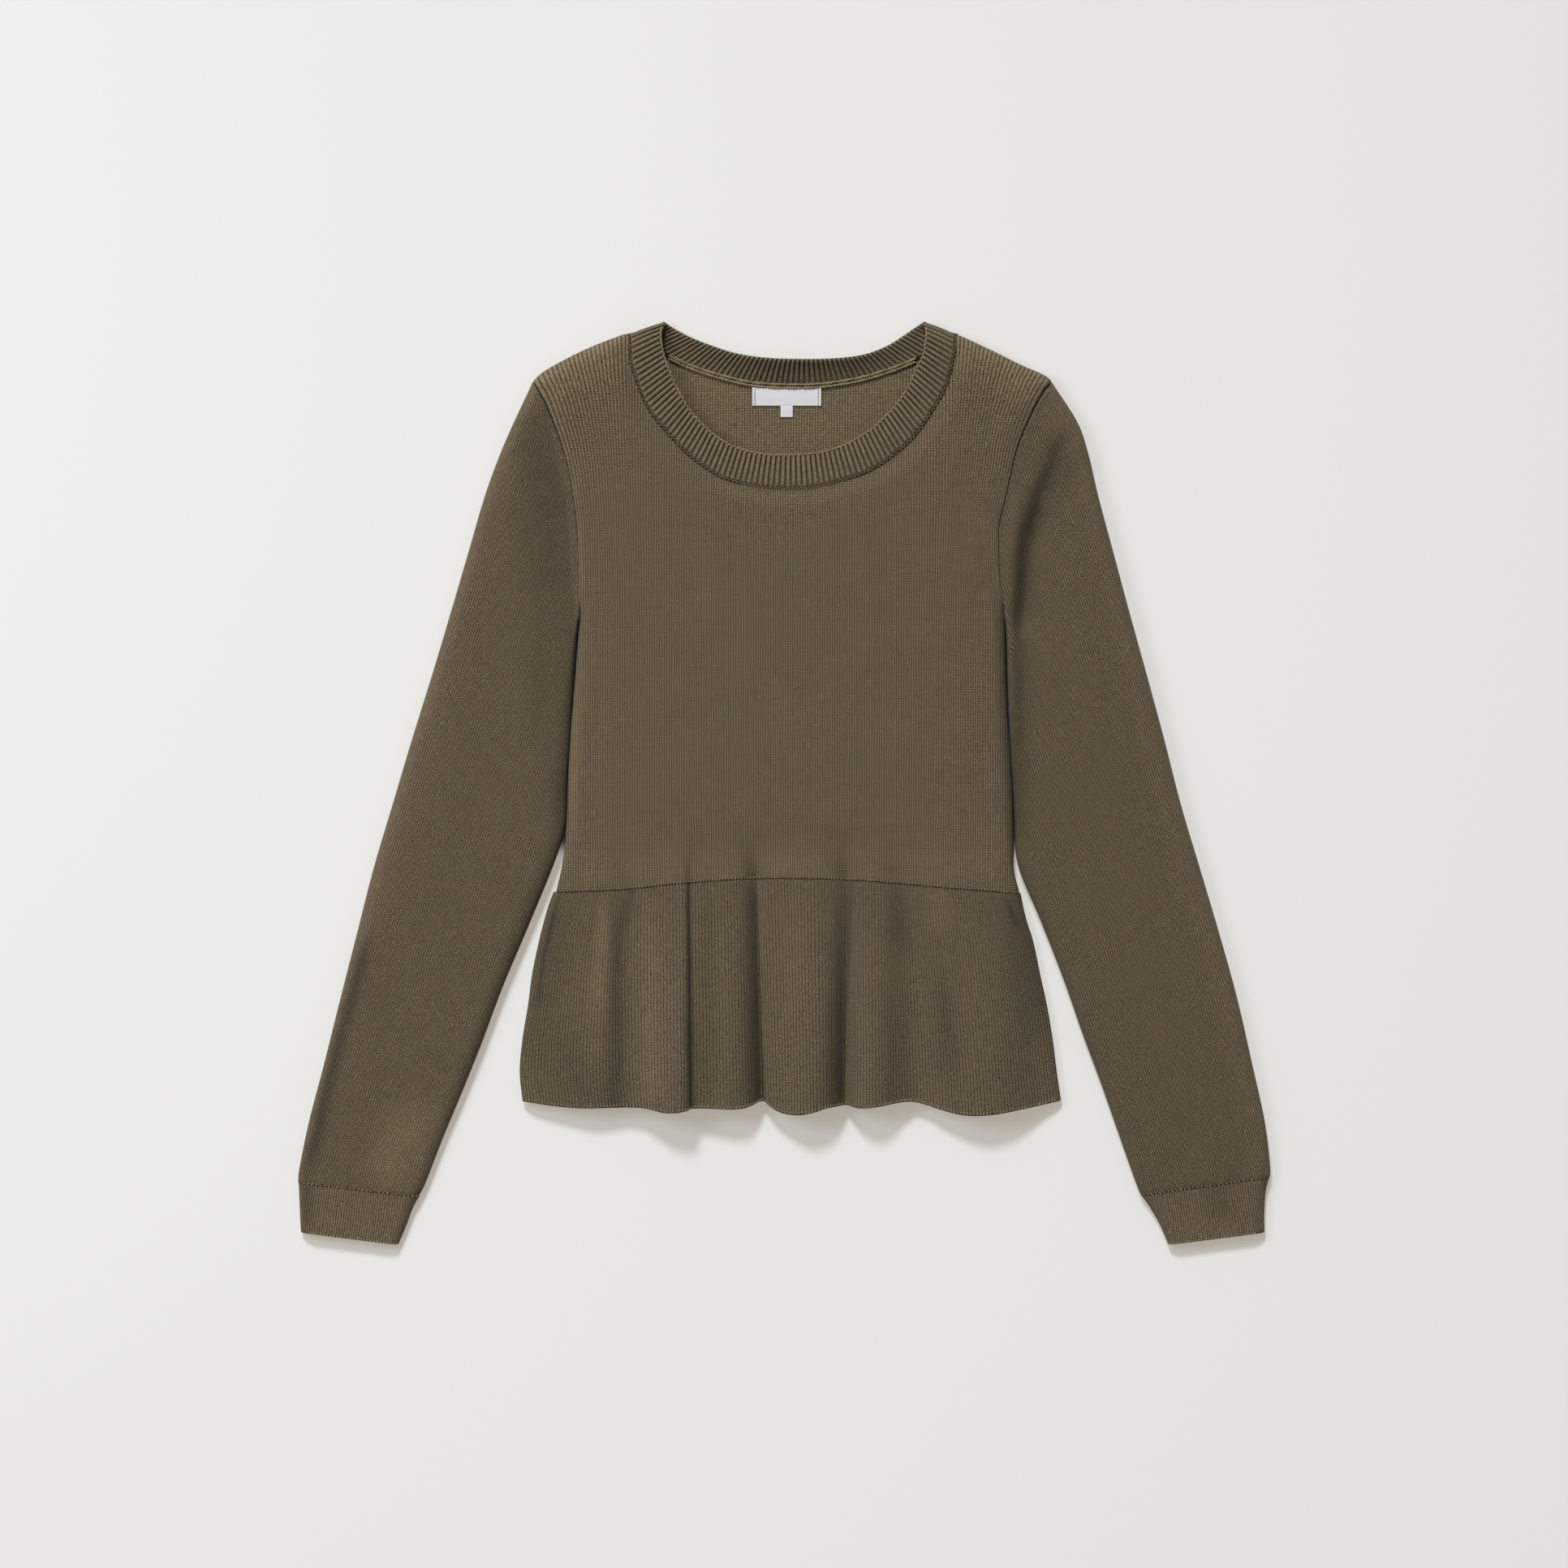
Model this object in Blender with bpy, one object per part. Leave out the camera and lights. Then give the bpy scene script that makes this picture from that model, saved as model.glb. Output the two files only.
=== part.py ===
"""Peplum crew neck sweater, laid flat with its front up.

Plan sizes and heights are in millimetres and become metres where a mesh is made.
Up in the picture is +Y, right in the picture is +X, and the surface is at zero height.
"""

from collections import namedtuple

import bmesh
import bpy
import numpy as np

MM = 0.001
COLLECTION = "peplum_crew_neck_sweater"

KNIT_WALL = 2.0
BAND_WALL = 2.4
SEAM_GAP = 0.3
BODY_HEIGHT = 18.0
ARMHOLE_HEIGHT = 15.0
NECK_HEIGHT = 14.6
WAIST_HEIGHT = 13.0
SEAM_LEVEL = 5.0
FRONT_ROLL = 10.0
BACK_ROLL = 6.0
UNDERARM_Y = 116.0
UNDERARM_BLEND = 24.0
WAIST_SINK = 26.0
TUCK_RISE = 32.0
NECK_SINK = 14.0
ARMHOLE_SINK = 12.0
BAND_GAP = 1.2
CORNER_GAP = 1.6
CORNER_REACH = 18.0

FRONT_RIBS = 88
BACK_RIBS = 62
RIB_HEIGHT = 0.7
RIB_POINTS = 2

BAND_TURN = 20
RIB_EDGE_SHARE = 0.35
BACK_BAND_LEVEL = 4.0
FRONT_BAND_LEVEL = 10.0

SHOULDER_SHARE = 0.17
PANEL_LENGTH = 370.0
WAIST_ROWS = (0.0, 0.022, 0.05)
BODY_ROWS = 14
BODY_COLUMNS = 27
SLEEVE_ROWS = 25
ELBOW_ROW = 12
CUFF_ROWS = 5
FLAT_LIMIT = 0.02
PEPLUM_ROWS = 9
PEPLUM_BULGE = 0.25

LABEL_CENTRE = (2.0, 281.5)
LABEL_SIZE = (50.0, 13.0)
TAB_SIZE = (9.0, 8.0)
LABEL_THICK = 0.6

Edge = namedtuple("Edge", "x y")
Band = namedtuple("Band", "seam_x seam_y seam_z free_x free_y free_z")
Station = namedtuple("Station", "outer_x outer_y inner_x inner_y height bow inner_roll")
Gather = namedtuple("Gather", "waist_x waist_z hem_x hem_y hem_z")
Tuck = namedtuple("Tuck", "x depth width")

LEFT_SIDE = [
    Edge(-165.5, -78.0),
    Edge(-160.5, -55),
    Edge(-158, -26),
    Edge(-157, 4),
    Edge(-155, 39),
    Edge(-152, 75),
    Edge(-150, 104),
    Edge(-149, 122),
    Edge(-149, 157),
    Edge(-150, 187),
    Edge(-153, 210),
    Edge(-156, 228),
    Edge(-162, 249),
    Edge(-171, 272),
    Edge(-182, 293),
]

RIGHT_SIDE = [
    Edge(171, -79.0),
    Edge(167, -62),
    Edge(167, -43),
    Edge(166, -8),
    Edge(164, 27),
    Edge(162, 63),
    Edge(161, 104),
    Edge(160, 128),
    Edge(157, 145),
    Edge(156, 163),
    Edge(156, 187),
    Edge(160, 204),
    Edge(164, 222),
    Edge(169, 243),
    Edge(177, 263),
    Edge(186, 281),
    Edge(194, 293),
]

WAIST = [
    Edge(-165.5, -78.0),
    Edge(-118, -76),
    Edge(-68, -71),
    Edge(-16, -68),
    Edge(47, -69),
    Edge(121, -75),
    Edge(171, -79.0),
]

LEFT_SHOULDER = [
    Edge(-182, 293),
    Edge(-174, 300),
    Edge(-156, 310),
    Edge(-139, 318),
    Edge(-121, 325),
    Edge(-113, 328),
]

RIGHT_SHOULDER = [
    Edge(125, 327),
    Edge(136, 322),
    Edge(153, 314),
    Edge(171, 305),
    Edge(189, 297),
    Edge(194, 293),
]

NECKBAND = [
    Band(-112, 326, 8.5, -86, 335, 8.5),
    Band(-111, 317, 14.0, -89, 326, 13.0),
    Band(-110, 306, 15.0, -87, 313, 13.4),
    Band(-107, 296, 15.2, -83, 301, 13.4),
    Band(-102, 282, 15.2, -76, 285, 13.2),
    Band(-95, 269, 15.0, -67, 270, 12.8),
    Band(-85, 257, 14.8, -57, 259, 12.4),
    Band(-73, 244, 14.6, -44, 249, 12.0),
    Band(-60, 233, 14.4, -30, 243, 11.6),
    Band(-41, 222, 14.2, -17, 240, 11.4),
    Band(-12, 216, 14.0, -1, 239, 11.2),
    Band(19, 216, 14.0, 19, 240, 11.2),
    Band(51, 224, 14.2, 35, 243, 11.4),
    Band(67, 231, 14.4, 51, 250, 11.6),
    Band(81, 241, 14.6, 65, 259, 12.0),
    Band(94, 253, 14.8, 78, 272, 12.4),
    Band(106, 270, 15.0, 88, 285, 12.8),
    Band(116, 288, 15.2, 96, 302, 13.2),
    Band(121, 305, 15.0, 101, 313, 13.4),
    Band(123, 316, 14.0, 103, 326, 13.0),
    Band(124, 326, 8.5, 101, 335, 8.5),
    Band(119, 322, 3.0, 96, 332, 4.0),
    Band(108, 315, 2.3, 86, 325, 4.6),
    Band(94, 309, 2.2, 75, 318, 6.0),
    Band(76, 302, 2.2, 60, 312, 8.6),
    Band(51, 295, 2.2, 42, 309, 11.0),
    Band(19, 291, 2.2, 18, 308, 12.4),
    Band(-19, 292, 2.2, -12, 309, 12.0),
    Band(-47, 298, 2.2, -35, 312.5, 9.4),
    Band(-68, 305, 2.2, -52, 318, 7.0),
    Band(-86, 313, 2.2, -67, 324, 5.0),
    Band(-102, 320, 3.0, -80, 331, 4.0),
]

LEFT_SLEEVE = [
    Station(-183, 291, -149.6, 116, 15.0, 1.0, 10),
    Station(-196, 263, -150.4, 104, 15.6, 0.8, 12),
    Station(-206, 240, -151.6, 89, 16.0, 0.6, 14),
    Station(-217, 210, -152.9, 72, 16.2, 0.4, 16),
    Station(-229, 169, -154.6, 48, 16.2, 0.2, 17),
    Station(-241, 128, -156.0, 24, 16.2, 0.1, 17),
    Station(-255, 81, -157.6, -2, 16.2, 0.0, 16),
    Station(-270, 33, -158.7, -29, 16.0, 0.0, 15),
    Station(-284, -14, -165.5, -54, 15.8, 0.0, 14),
    Station(-298, -61, -185, -102, 15.4, 0.0, 12),
    Station(-310, -108, -204, -147, 15.0, 0.0, 11),
    Station(-322, -155, -219, -187, 14.4, 0.0, 10),
    Station(-334, -203, -233, -222, 13.6, 0.0, 10),
    Station(-345, -245, -248, -258, 12.6, 0.0, 10),
    Station(-352, -279, -260, -289, 11.6, 0.0, 9),
    Station(-353, -289, -265, -299, 11.0, 0.0, 9),
]

RIGHT_SLEEVE = [
    Station(195, 291, 161.1, 116, 15.0, 1.0, 10),
    Station(213, 263, 161.7, 101, 15.6, 0.8, 12),
    Station(221, 240, 162.0, 86, 16.0, 0.6, 14),
    Station(228, 210, 162.4, 69, 16.2, 0.4, 14),
    Station(239, 169, 163.6, 45, 16.2, 0.2, 13),
    Station(250, 128, 164.9, 22, 16.2, 0.1, 12),
    Station(263, 81, 166.4, -5, 16.2, 0.0, 12),
    Station(276, 33, 167.4, -32, 16.0, 0.0, 12),
    Station(288, -14, 170.2, -60, 15.8, 0.0, 12),
    Station(302, -61, 187, -101, 15.4, 0.0, 11),
    Station(316, -108, 203, -142, 15.0, 0.0, 10),
    Station(329, -155, 217, -182, 14.4, 0.0, 10),
    Station(340, -203, 230, -217, 13.6, 0.0, 10),
    Station(349, -244, 244, -257, 12.6, 0.0, 10),
    Station(353, -276, 255, -288, 11.6, 0.0, 9),
    Station(353, -285, 259, -298, 11.0, 0.0, 9),
]

LEFT_CUFF = [
    Station(-352.6, -290, -265, -300, 10.6, 0.0, 8),
    Station(-352, -303, -270, -309, 10.0, 0.0, 8),
    Station(-351.6, -313, -274, -320, 9.6, 0.0, 8),
    Station(-351, -325, -280, -334, 9.4, 0.0, 8),
]

RIGHT_CUFF = [
    Station(352.6, -286, 259.5, -299, 10.6, 0.0, 8),
    Station(350, -296, 266, -308, 10.0, 0.0, 8),
    Station(349, -310, 273, -320, 9.6, 0.0, 8),
    Station(349, -325, 279, -334, 9.4, 0.0, 8),
]

PEPLUM_FOLDS = [
    Gather(-167.6, 5, -190, -229.8, 5),
    Gather(-165.8, 9.5, -188.2, -230.1, 8),
    Gather(-162.8, 12, -182.9, -230.7, 10.5),
    Gather(-156.3, 13, -172.9, -232.2, 12.5),
    Gather(-146.9, 13.4, -158.1, -233.9, 14.5),
    Gather(-135.7, 14.2, -143.4, -234.5, 17.5),
    Gather(-125.7, 13.4, -129.8, -234.2, 17),
    Gather(-118, 12.2, -118, -233.9, 15.5),
    Gather(-112.7, 13, -111.5, -233.9, 16),
    Gather(-105.6, 14.6, -103.2, -234.2, 18),
    Gather(-97.3, 15.6, -95.6, -235.7, 22),
    Gather(-89.1, 16.4, -87.3, -237.5, 26),
    Gather(-80.8, 16.8, -79.1, -237.5, 28.8),
    Gather(-74.3, 16.4, -72.6, -236.6, 29.2),
    Gather(-70.5, 14.6, -68.7, -235.7, 27),
    Gather(-69, 12, -67.6, -234.8, 22.5),
    Gather(-66.7, 11.6, -64.9, -234.5, 20),
    Gather(-59.6, 12.6, -57.2, -234.5, 19.8),
    Gather(-50.1, 13.6, -47.8, -234.8, 21.6),
    Gather(-40.7, 13.6, -38.4, -235.1, 23),
    Gather(-32.4, 12.8, -29.5, -234.5, 21.5),
    Gather(-26, 11.4, -22.4, -232.2, 17),
    Gather(-21.2, 9.8, -17.1, -229.8, 10),
    Gather(-19.5, 9.6, -14.8, -229.5, 9.6),
    Gather(-16.5, 11.6, -11.8, -232.2, 12),
    Gather(-11.2, 13.4, -6.5, -236, 15.5),
    Gather(-1.8, 14.4, 1.8, -238.7, 19),
    Gather(8.8, 14.8, 11.2, -239.2, 24.5),
    Gather(19.5, 14.4, 21.8, -237.2, 26.2),
    Gather(28.9, 13, 30.1, -234.5, 24.5),
    Gather(36.6, 11.6, 37.2, -233.3, 19),
    Gather(42.5, 9.9, 42.5, -232.5, 11.5),
    Gather(45.4, 9.6, 45.1, -232.2, 10),
    Gather(48.4, 11.4, 47.8, -233, 14),
    Gather(53.7, 13.4, 53.1, -234.2, 20.5),
    Gather(61.9, 14.2, 62.5, -233.9, 25),
    Gather(71.4, 13.6, 72.6, -232.5, 23.5),
    Gather(79.6, 12.8, 82, -230.7, 17.5),
    Gather(87.9, 12.4, 92.6, -229.8, 11.8),
    Gather(95, 12.8, 102.1, -231.9, 12),
    Gather(103.2, 13.8, 113.9, -235.7, 15.5),
    Gather(115, 14, 128, -239.2, 19.5),
    Gather(126.8, 13.8, 142.2, -239.8, 22.6),
    Gather(139.8, 13.4, 157.5, -238.1, 22),
    Gather(151.6, 13.2, 172.9, -235.1, 17),
    Gather(161.1, 12.6, 185.8, -232.5, 11),
    Gather(168.1, 10, 195.3, -230.4, 8),
    Gather(172.3, 5, 200.6, -229.2, 5),
]

PEPLUM_LEFT = [
    Edge(-167.5, -79.5),
    Edge(-171, -88),
    Edge(-175, -102),
    Edge(-178, -114),
    Edge(-183, -138),
    Edge(-186, -161),
    Edge(-190, -185),
    Edge(-192, -209),
    Edge(-190, -230),
]

PEPLUM_RIGHT = [
    Edge(172, -80.5),
    Edge(174, -91),
    Edge(177, -102),
    Edge(181, -114),
    Edge(186, -138),
    Edge(191, -161),
    Edge(195, -185),
    Edge(198, -209),
    Edge(201, -229),
]

WAIST_TUCKS = [
    Tuck(-116, 0.6, 8),
    Tuck(-69, 1.4, 7),
    Tuck(-20, 3.2, 8),
    Tuck(45, 3.2, 8),
    Tuck(88, 1.6, 15),
]


def curve(rows, count):
    """Rows joined by a smooth curve and spread evenly along its length."""
    ends = np.array([list(row) for row in rows], float)
    before = 2 * ends[0] - ends[1]
    after = 2 * ends[-1] - ends[-2]
    return spread(np.vstack([before, ends, after]), count)


def spread(ends, count):
    """Sample the cubic through inner rows at even steps of its own length."""
    steps = np.linspace(0, 1, 24, endpoint=False)[:, None]
    fine = []
    for a, b, c, d in zip(ends, ends[1:], ends[2:], ends[3:]):
        square, cube = steps**2, steps**3
        bend = (2 * a - 5 * b + 4 * c - d) * square + (3 * b - a - 3 * c + d) * cube
        fine.append(0.5 * (2 * b + (c - a) * steps + bend))
    fine = np.vstack(fine + [ends[-2][None]])
    lengths = np.r_[0, np.cumsum(np.linalg.norm(np.diff(fine, axis=0), axis=1))]
    wanted = np.linspace(0, lengths[-1], count)
    columns = [np.interp(wanted, lengths, fine[:, k]) for k in range(fine.shape[1])]
    return np.array(columns).T


def along(line, shares):
    """Points at the given shares of a line's length."""
    lengths = np.r_[0, np.cumsum(np.linalg.norm(np.diff(line, axis=0), axis=1))]
    wanted = np.asarray(shares) * lengths[-1]
    return np.array([np.interp(wanted, lengths, axis) for axis in line.T]).T


def distance(points, line):
    """Plan distance from each grid point to a line of short steps."""
    a, b = line[:-1], line[1:]
    step = b - a
    rel = points[..., None, :] - a
    share = np.clip((rel * step).sum(-1) / (step * step).sum(-1), 0, 1)
    return np.linalg.norm(rel - share[..., None] * step, axis=-1).min(-1)


def ease(value):
    """A soft step from 0 to 1."""
    value = np.clip(value, 0, 1)
    return value * value * (3 - 2 * value)


def roll(gap, radius):
    """Share of the full height reached at a distance from a rolled edge."""
    return np.sqrt(np.clip(1 - (1 - np.clip(gap / radius, 0, 1)) ** 2, 0, 1))


def patch(left, right, bottom, top, across, upward, reach=0.5):
    """Grid of plan points held by four edge lines, rows from bottom to top.

    The side lines bend only the columns within their reach.
    """
    u = np.asarray(across)[None, :, None]
    v = np.asarray(upward)[:, None, None]
    low, high = along(bottom, across)[None], top[None]
    ruled = (1 - v) * low + v * high
    west = along(left, upward)[:, None] - ruled[:, :1]
    east = along(right, upward)[:, None] - ruled[:, -1:]
    ruled = ruled + np.clip(1 - u / reach, 0, 1) * west
    return ruled + np.clip(1 - (1 - u) / reach, 0, 1) * east


def normals(grid, closed):
    """Unit normals of a grid of points, upward for rows up and columns right."""
    if closed:
        across = np.roll(grid, -1, axis=1) - np.roll(grid, 1, axis=1)
    else:
        across = np.gradient(grid, axis=1)
    upward = np.gradient(grid, axis=0)
    found = np.cross(across, upward)
    return found / np.maximum(np.linalg.norm(found, axis=-1, keepdims=True), 1e-9)


def material(name, colour, rough):
    """A cloth material with its own colour."""
    made = bpy.data.materials.new(name)
    made.use_nodes = True
    shader = made.node_tree.nodes["Principled BSDF"]
    shader.inputs["Base Color"].default_value = (*colour, 1.0)
    shader.inputs["Roughness"].default_value = rough
    return made


def skin(name, outer, inner, closed, finish):
    """One closed wall from an outer and an inner grid of points."""
    rows, columns = outer.shape[:2]
    count = rows * columns
    points = np.vstack([outer.reshape(-1, 3), inner.reshape(-1, 3)]) * MM
    faces = []
    last = columns if closed else columns - 1
    for row in range(rows - 1):
        for column in range(last):
            beside = (column + 1) % columns
            a, b = row * columns + column, row * columns + beside
            c, d = b + columns, a + columns
            faces.append((a, b, c, d))
            faces.append((d + count, c + count, b + count, a + count))
    for column in range(last):
        beside = (column + 1) % columns
        faces.append((beside, column, column + count, beside + count))
        a, b = (rows - 1) * columns + column, (rows - 1) * columns + beside
        faces.append((a, b, b + count, a + count))
    if not closed:
        for row in range(rows - 1):
            a, b = row * columns, (row + 1) * columns
            faces.append((a, b, b + count, a + count))
            c, d = a + columns - 1, b + columns - 1
            faces.append((d, c, c + count, d + count))
    mesh = bpy.data.meshes.new(name)
    mesh.from_pydata([tuple(p) for p in points], [], faces)
    shell = bmesh.new()
    shell.from_mesh(mesh)
    bmesh.ops.recalc_face_normals(shell, faces=shell.faces)
    shell.to_mesh(mesh)
    shell.free()
    mesh.shade_smooth()
    mesh.set_sharp_from_angle(angle=0.7)
    mesh.materials.append(finish)
    made = bpy.data.objects.new(name, mesh)
    bpy.data.collections[COLLECTION].objects.link(made)
    return made


def rolled_shares(length, radius, inner):
    """Shares across a width with close steps in the rolled edge at each end."""
    close = radius / length * np.array([0, 0.13, 0.5])
    plain = np.linspace(radius / length, 1 - radius / length, inner)
    return np.r_[close, plain, 1 - close[::-1]]


def body_lines():
    """The long edges of the bodice as fine lines."""
    return {
        "left": curve(LEFT_SIDE, 90),
        "right": curve(RIGHT_SIDE, 90),
        "waist": curve(WAIST, 60),
        "left_shoulder": curve(LEFT_SHOULDER, 30),
        "right_shoulder": curve(RIGHT_SHOULDER, 30),
    }


def top_line(lines, neck, across):
    """Top edge of a panel: shoulder, neck seam, shoulder, at the given shares."""
    shoulder = SHOULDER_SHARE
    middle = 1 - 2 * shoulder
    points = []
    for share in across:
        if share < shoulder:
            points.append(along(lines["left_shoulder"], [share / shoulder])[0])
        elif share > 1 - shoulder:
            rest = (share - 1 + shoulder) / shoulder
            points.append(along(lines["right_shoulder"], [rest])[0])
        else:
            points.append(along(neck, [(share - shoulder) / middle])[0])
    return np.array(points)


def neck_seam(front):
    """Seam line of the neckband on the front or the back, from left to right."""
    rows = NECKBAND[: BAND_TURN + 1] if front else NECKBAND[BAND_TURN:] + NECKBAND[:1]
    line = curve([Edge(row.seam_x, row.seam_y) for row in rows], 80)
    if not front:
        line = line[::-1]
    run = np.gradient(line, axis=0)
    side = np.stack([run[:, 1], -run[:, 0]], axis=1)
    side = side / np.linalg.norm(side, axis=1, keepdims=True)
    ends = np.linalg.norm(line[:, None] - line[None, [0, -1]], axis=2).min(axis=1)
    gap = BAND_GAP + CORNER_GAP * (1 - ease(ends / CORNER_REACH))
    return line + side * gap[:, None]


def across_shares(width):
    """Column shares with one column on each corner of the neck."""
    shares = rolled_shares(width, FRONT_ROLL, BODY_COLUMNS)
    for corner in (SHOULDER_SHARE, 1 - SHOULDER_SHARE):
        shares[np.abs(shares - corner).argmin()] = corner
    return shares


def body_grid(lines, neck):
    """Plan grid of a bodice panel."""
    width = lines["waist"][-1, 0] - lines["waist"][0, 0]
    across = across_shares(width)
    close = FRONT_ROLL / PANEL_LENGTH * np.array([0, 0.13, 0.5, 1.0])
    plain = np.linspace(0.09, 0.93, BODY_ROWS)
    upward = np.r_[WAIST_ROWS, plain, 1 - close[::-1]]
    top = top_line(lines, neck, across)
    reach = SHOULDER_SHARE
    return patch(lines["left"], lines["right"], lines["waist"], top, across, upward, reach)


def side_level(y, edge_level):
    """Edge height down the body's side: a seam to the sleeve above the underarm."""
    share = ease((y - UNDERARM_Y) / UNDERARM_BLEND)
    return edge_level[0] + (edge_level[1] - edge_level[0]) * share, share


def build_front(lines, finish):
    """Front bodice, domed, rolled down at the sides and over the shoulders."""
    neck = neck_seam(True)
    plan = body_grid(lines, neck)
    left = distance(plan, lines["left"])
    right = distance(plan, lines["right"])
    side = np.minimum(left, right)
    edge, share = side_level(plan[..., 1], (SEAM_LEVEL + SEAM_GAP, ARMHOLE_HEIGHT))
    radius = FRONT_ROLL + (ARMHOLE_SINK - FRONT_ROLL) * share
    drop = (BODY_HEIGHT - edge) * (1 - roll(side, radius))
    shoulders = np.minimum(
        distance(plan, lines["left_shoulder"]), distance(plan, lines["right_shoulder"])
    )
    low = BODY_HEIGHT - SEAM_LEVEL - SEAM_GAP
    drop = np.maximum(drop, low * (1 - roll(shoulders, FRONT_ROLL)))
    sink = 1 - ease(distance(plan, neck) / NECK_SINK)
    drop = np.maximum(drop, (BODY_HEIGHT - NECK_HEIGHT) * sink)
    waist = 1 - ease(distance(plan, lines["waist"]) / WAIST_SINK)
    drop = np.maximum(drop, (BODY_HEIGHT - WAIST_HEIGHT) * waist)
    rise = 1 - ease(distance(plan, lines["waist"]) / TUCK_RISE)
    for tuck in WAIST_TUCKS:
        shape = np.exp(-(((plan[..., 0] - tuck.x) / tuck.width) ** 2))
        drop = drop + tuck.depth * shape * rise
    outer = np.dstack([plan, BODY_HEIGHT - drop])
    facing = normals(outer, False)
    flat_rim(facing, outer, SEAM_LEVEL + 3)
    skin("front", outer, outer - facing * KNIT_WALL, False, finish)


def flat_rim(facing, outer, level):
    """Turn edge normals outward at the rolled edges, so that seams meet level."""
    columns = outer.shape[1]
    for column in (0, columns - 1):
        low = outer[:, column, 2] < level
        turn = -1 if column == 0 else 1
        facing[low, column] = (turn, 0, 0)
    top = outer[-1, :, 2] < level
    facing[-1, top] = (0, 1, 0)
    for column, turn in ((0, -1), (columns - 1, 1)):
        facing[-1, column] = np.array([turn, 1, 0]) * np.sqrt(0.5)


def build_back(lines, finish):
    """Back bodice, flat on the surface, curled up to the side and shoulder seams."""
    neck = neck_seam(False)
    plan = body_grid(lines, neck)
    side = np.minimum(distance(plan, lines["left"]), distance(plan, lines["right"]))
    edge, share = side_level(plan[..., 1], (SEAM_LEVEL, 0.0))
    lift = edge * (1 - roll(side, BACK_ROLL))
    shoulders = np.minimum(
        distance(plan, lines["left_shoulder"]), distance(plan, lines["right_shoulder"])
    )
    lift = np.maximum(lift, SEAM_LEVEL * (1 - roll(shoulders, BACK_ROLL)))
    outer = np.dstack([plan, lift])
    facing = -normals(outer, False)
    facing[lift < FLAT_LIMIT] = (0, 0, -1)
    raised = np.where(lift > SEAM_LEVEL - 1.5, SEAM_LEVEL, 99.0)
    rim = outer.copy()
    rim[..., 2] = raised
    flat_rim(facing, rim, SEAM_LEVEL + 1)
    inner = outer - facing * KNIT_WALL
    skin("back", outer, inner, False, finish)


def quarter(reach, inset, level, end, angles):
    """Points of a rounded edge, from its widest level to its top or its underside."""
    points = []
    for angle in angles:
        turn = np.radians(angle)
        across = inset + (reach - inset) * (1 - np.cos(turn))
        points.append((across, level + (end - level) * np.sin(turn)))
    return points


def tube_section(width, height, inner_roll):
    """Outer and inner points of a flattened tube, from its outer edge over the top."""
    level = 0.4 * height
    top = min(FRONT_ROLL, 0.2 * width)
    low = 0.6 * top
    outline = []
    for inset in (0.0, KNIT_WALL):
        roof = height - inset
        full = quarter(top, inset, level, roof, (0, 30, 60, 90))
        full += [(x, roof) for x in np.linspace(top, width - inner_roll, 5)[1:-1]]
        beside = quarter(inner_roll, inset, level, roof, (90, 60, 30, 0))
        full += [(width - x, z) for x, z in beside]
        under = quarter(low, inset, level, inset, (45, 90))
        full += [(width - x, z) for x, z in under]
        full += [(x, inset) for x in np.linspace(width - low, low, 4)[1:-1]]
        full += under[::-1]
        outline.append(np.array(full))
    return outline


def elbow_split(stations):
    """A sleeve's sections, shared between its upper and its lower half."""
    rows = curve(stations, SLEEVE_ROWS)
    upper, lower = rows[: ELBOW_ROW + 1], rows[ELBOW_ROW:].copy()
    step = lower[1] - lower[0]
    lower[0] = lower[0] + step * SEAM_GAP / np.linalg.norm(step[:2])
    return upper, lower


def build_tube(name, rows, armhole, finish):
    """A sleeve half or a cuff lofted through flattened sections."""
    outer_rows, inner_rows = [], []
    for row in rows:
        station = Station(*row)
        start = np.array([station.outer_x, station.outer_y])
        end = np.array([station.inner_x, station.inner_y])
        width = np.linalg.norm(end - start)
        outline = tube_section(width, station.height, station.inner_roll)
        for section, keep in zip(outline, (outer_rows, inner_rows)):
            share = section[:, :1] / width
            plan = start + share * (end - start)
            if armhole is not None and station.bow > 0:
                plan = plan + station.bow * bowed(armhole, share[:, 0])
            keep.append(np.column_stack([plan, section[:, 1]]))
    skin(name, np.array(outer_rows), np.array(inner_rows), True, finish)


def bowed(armhole, shares):
    """How far the armhole seam stands off its own chord."""
    chord = armhole[0] + shares[:, None] * (armhole[-1] - armhole[0])
    return along(armhole, shares) - chord


def armhole_of(side):
    """The armhole seam from the shoulder tip down to the underarm."""
    line = curve(side, 200)
    return line[line[:, 1] >= UNDERARM_Y][::-1]


def band_edge(points):
    """One edge of the neckband with its ribs evenly spaced on the front and on the back."""
    front = curve(points[: BAND_TURN + 1], FRONT_RIBS * RIB_POINTS + 1)
    back = curve(np.vstack([points[BAND_TURN:], points[:1]]), BACK_RIBS * RIB_POINTS + 1)
    return np.vstack([front[:-1], back[:-1]])


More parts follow.
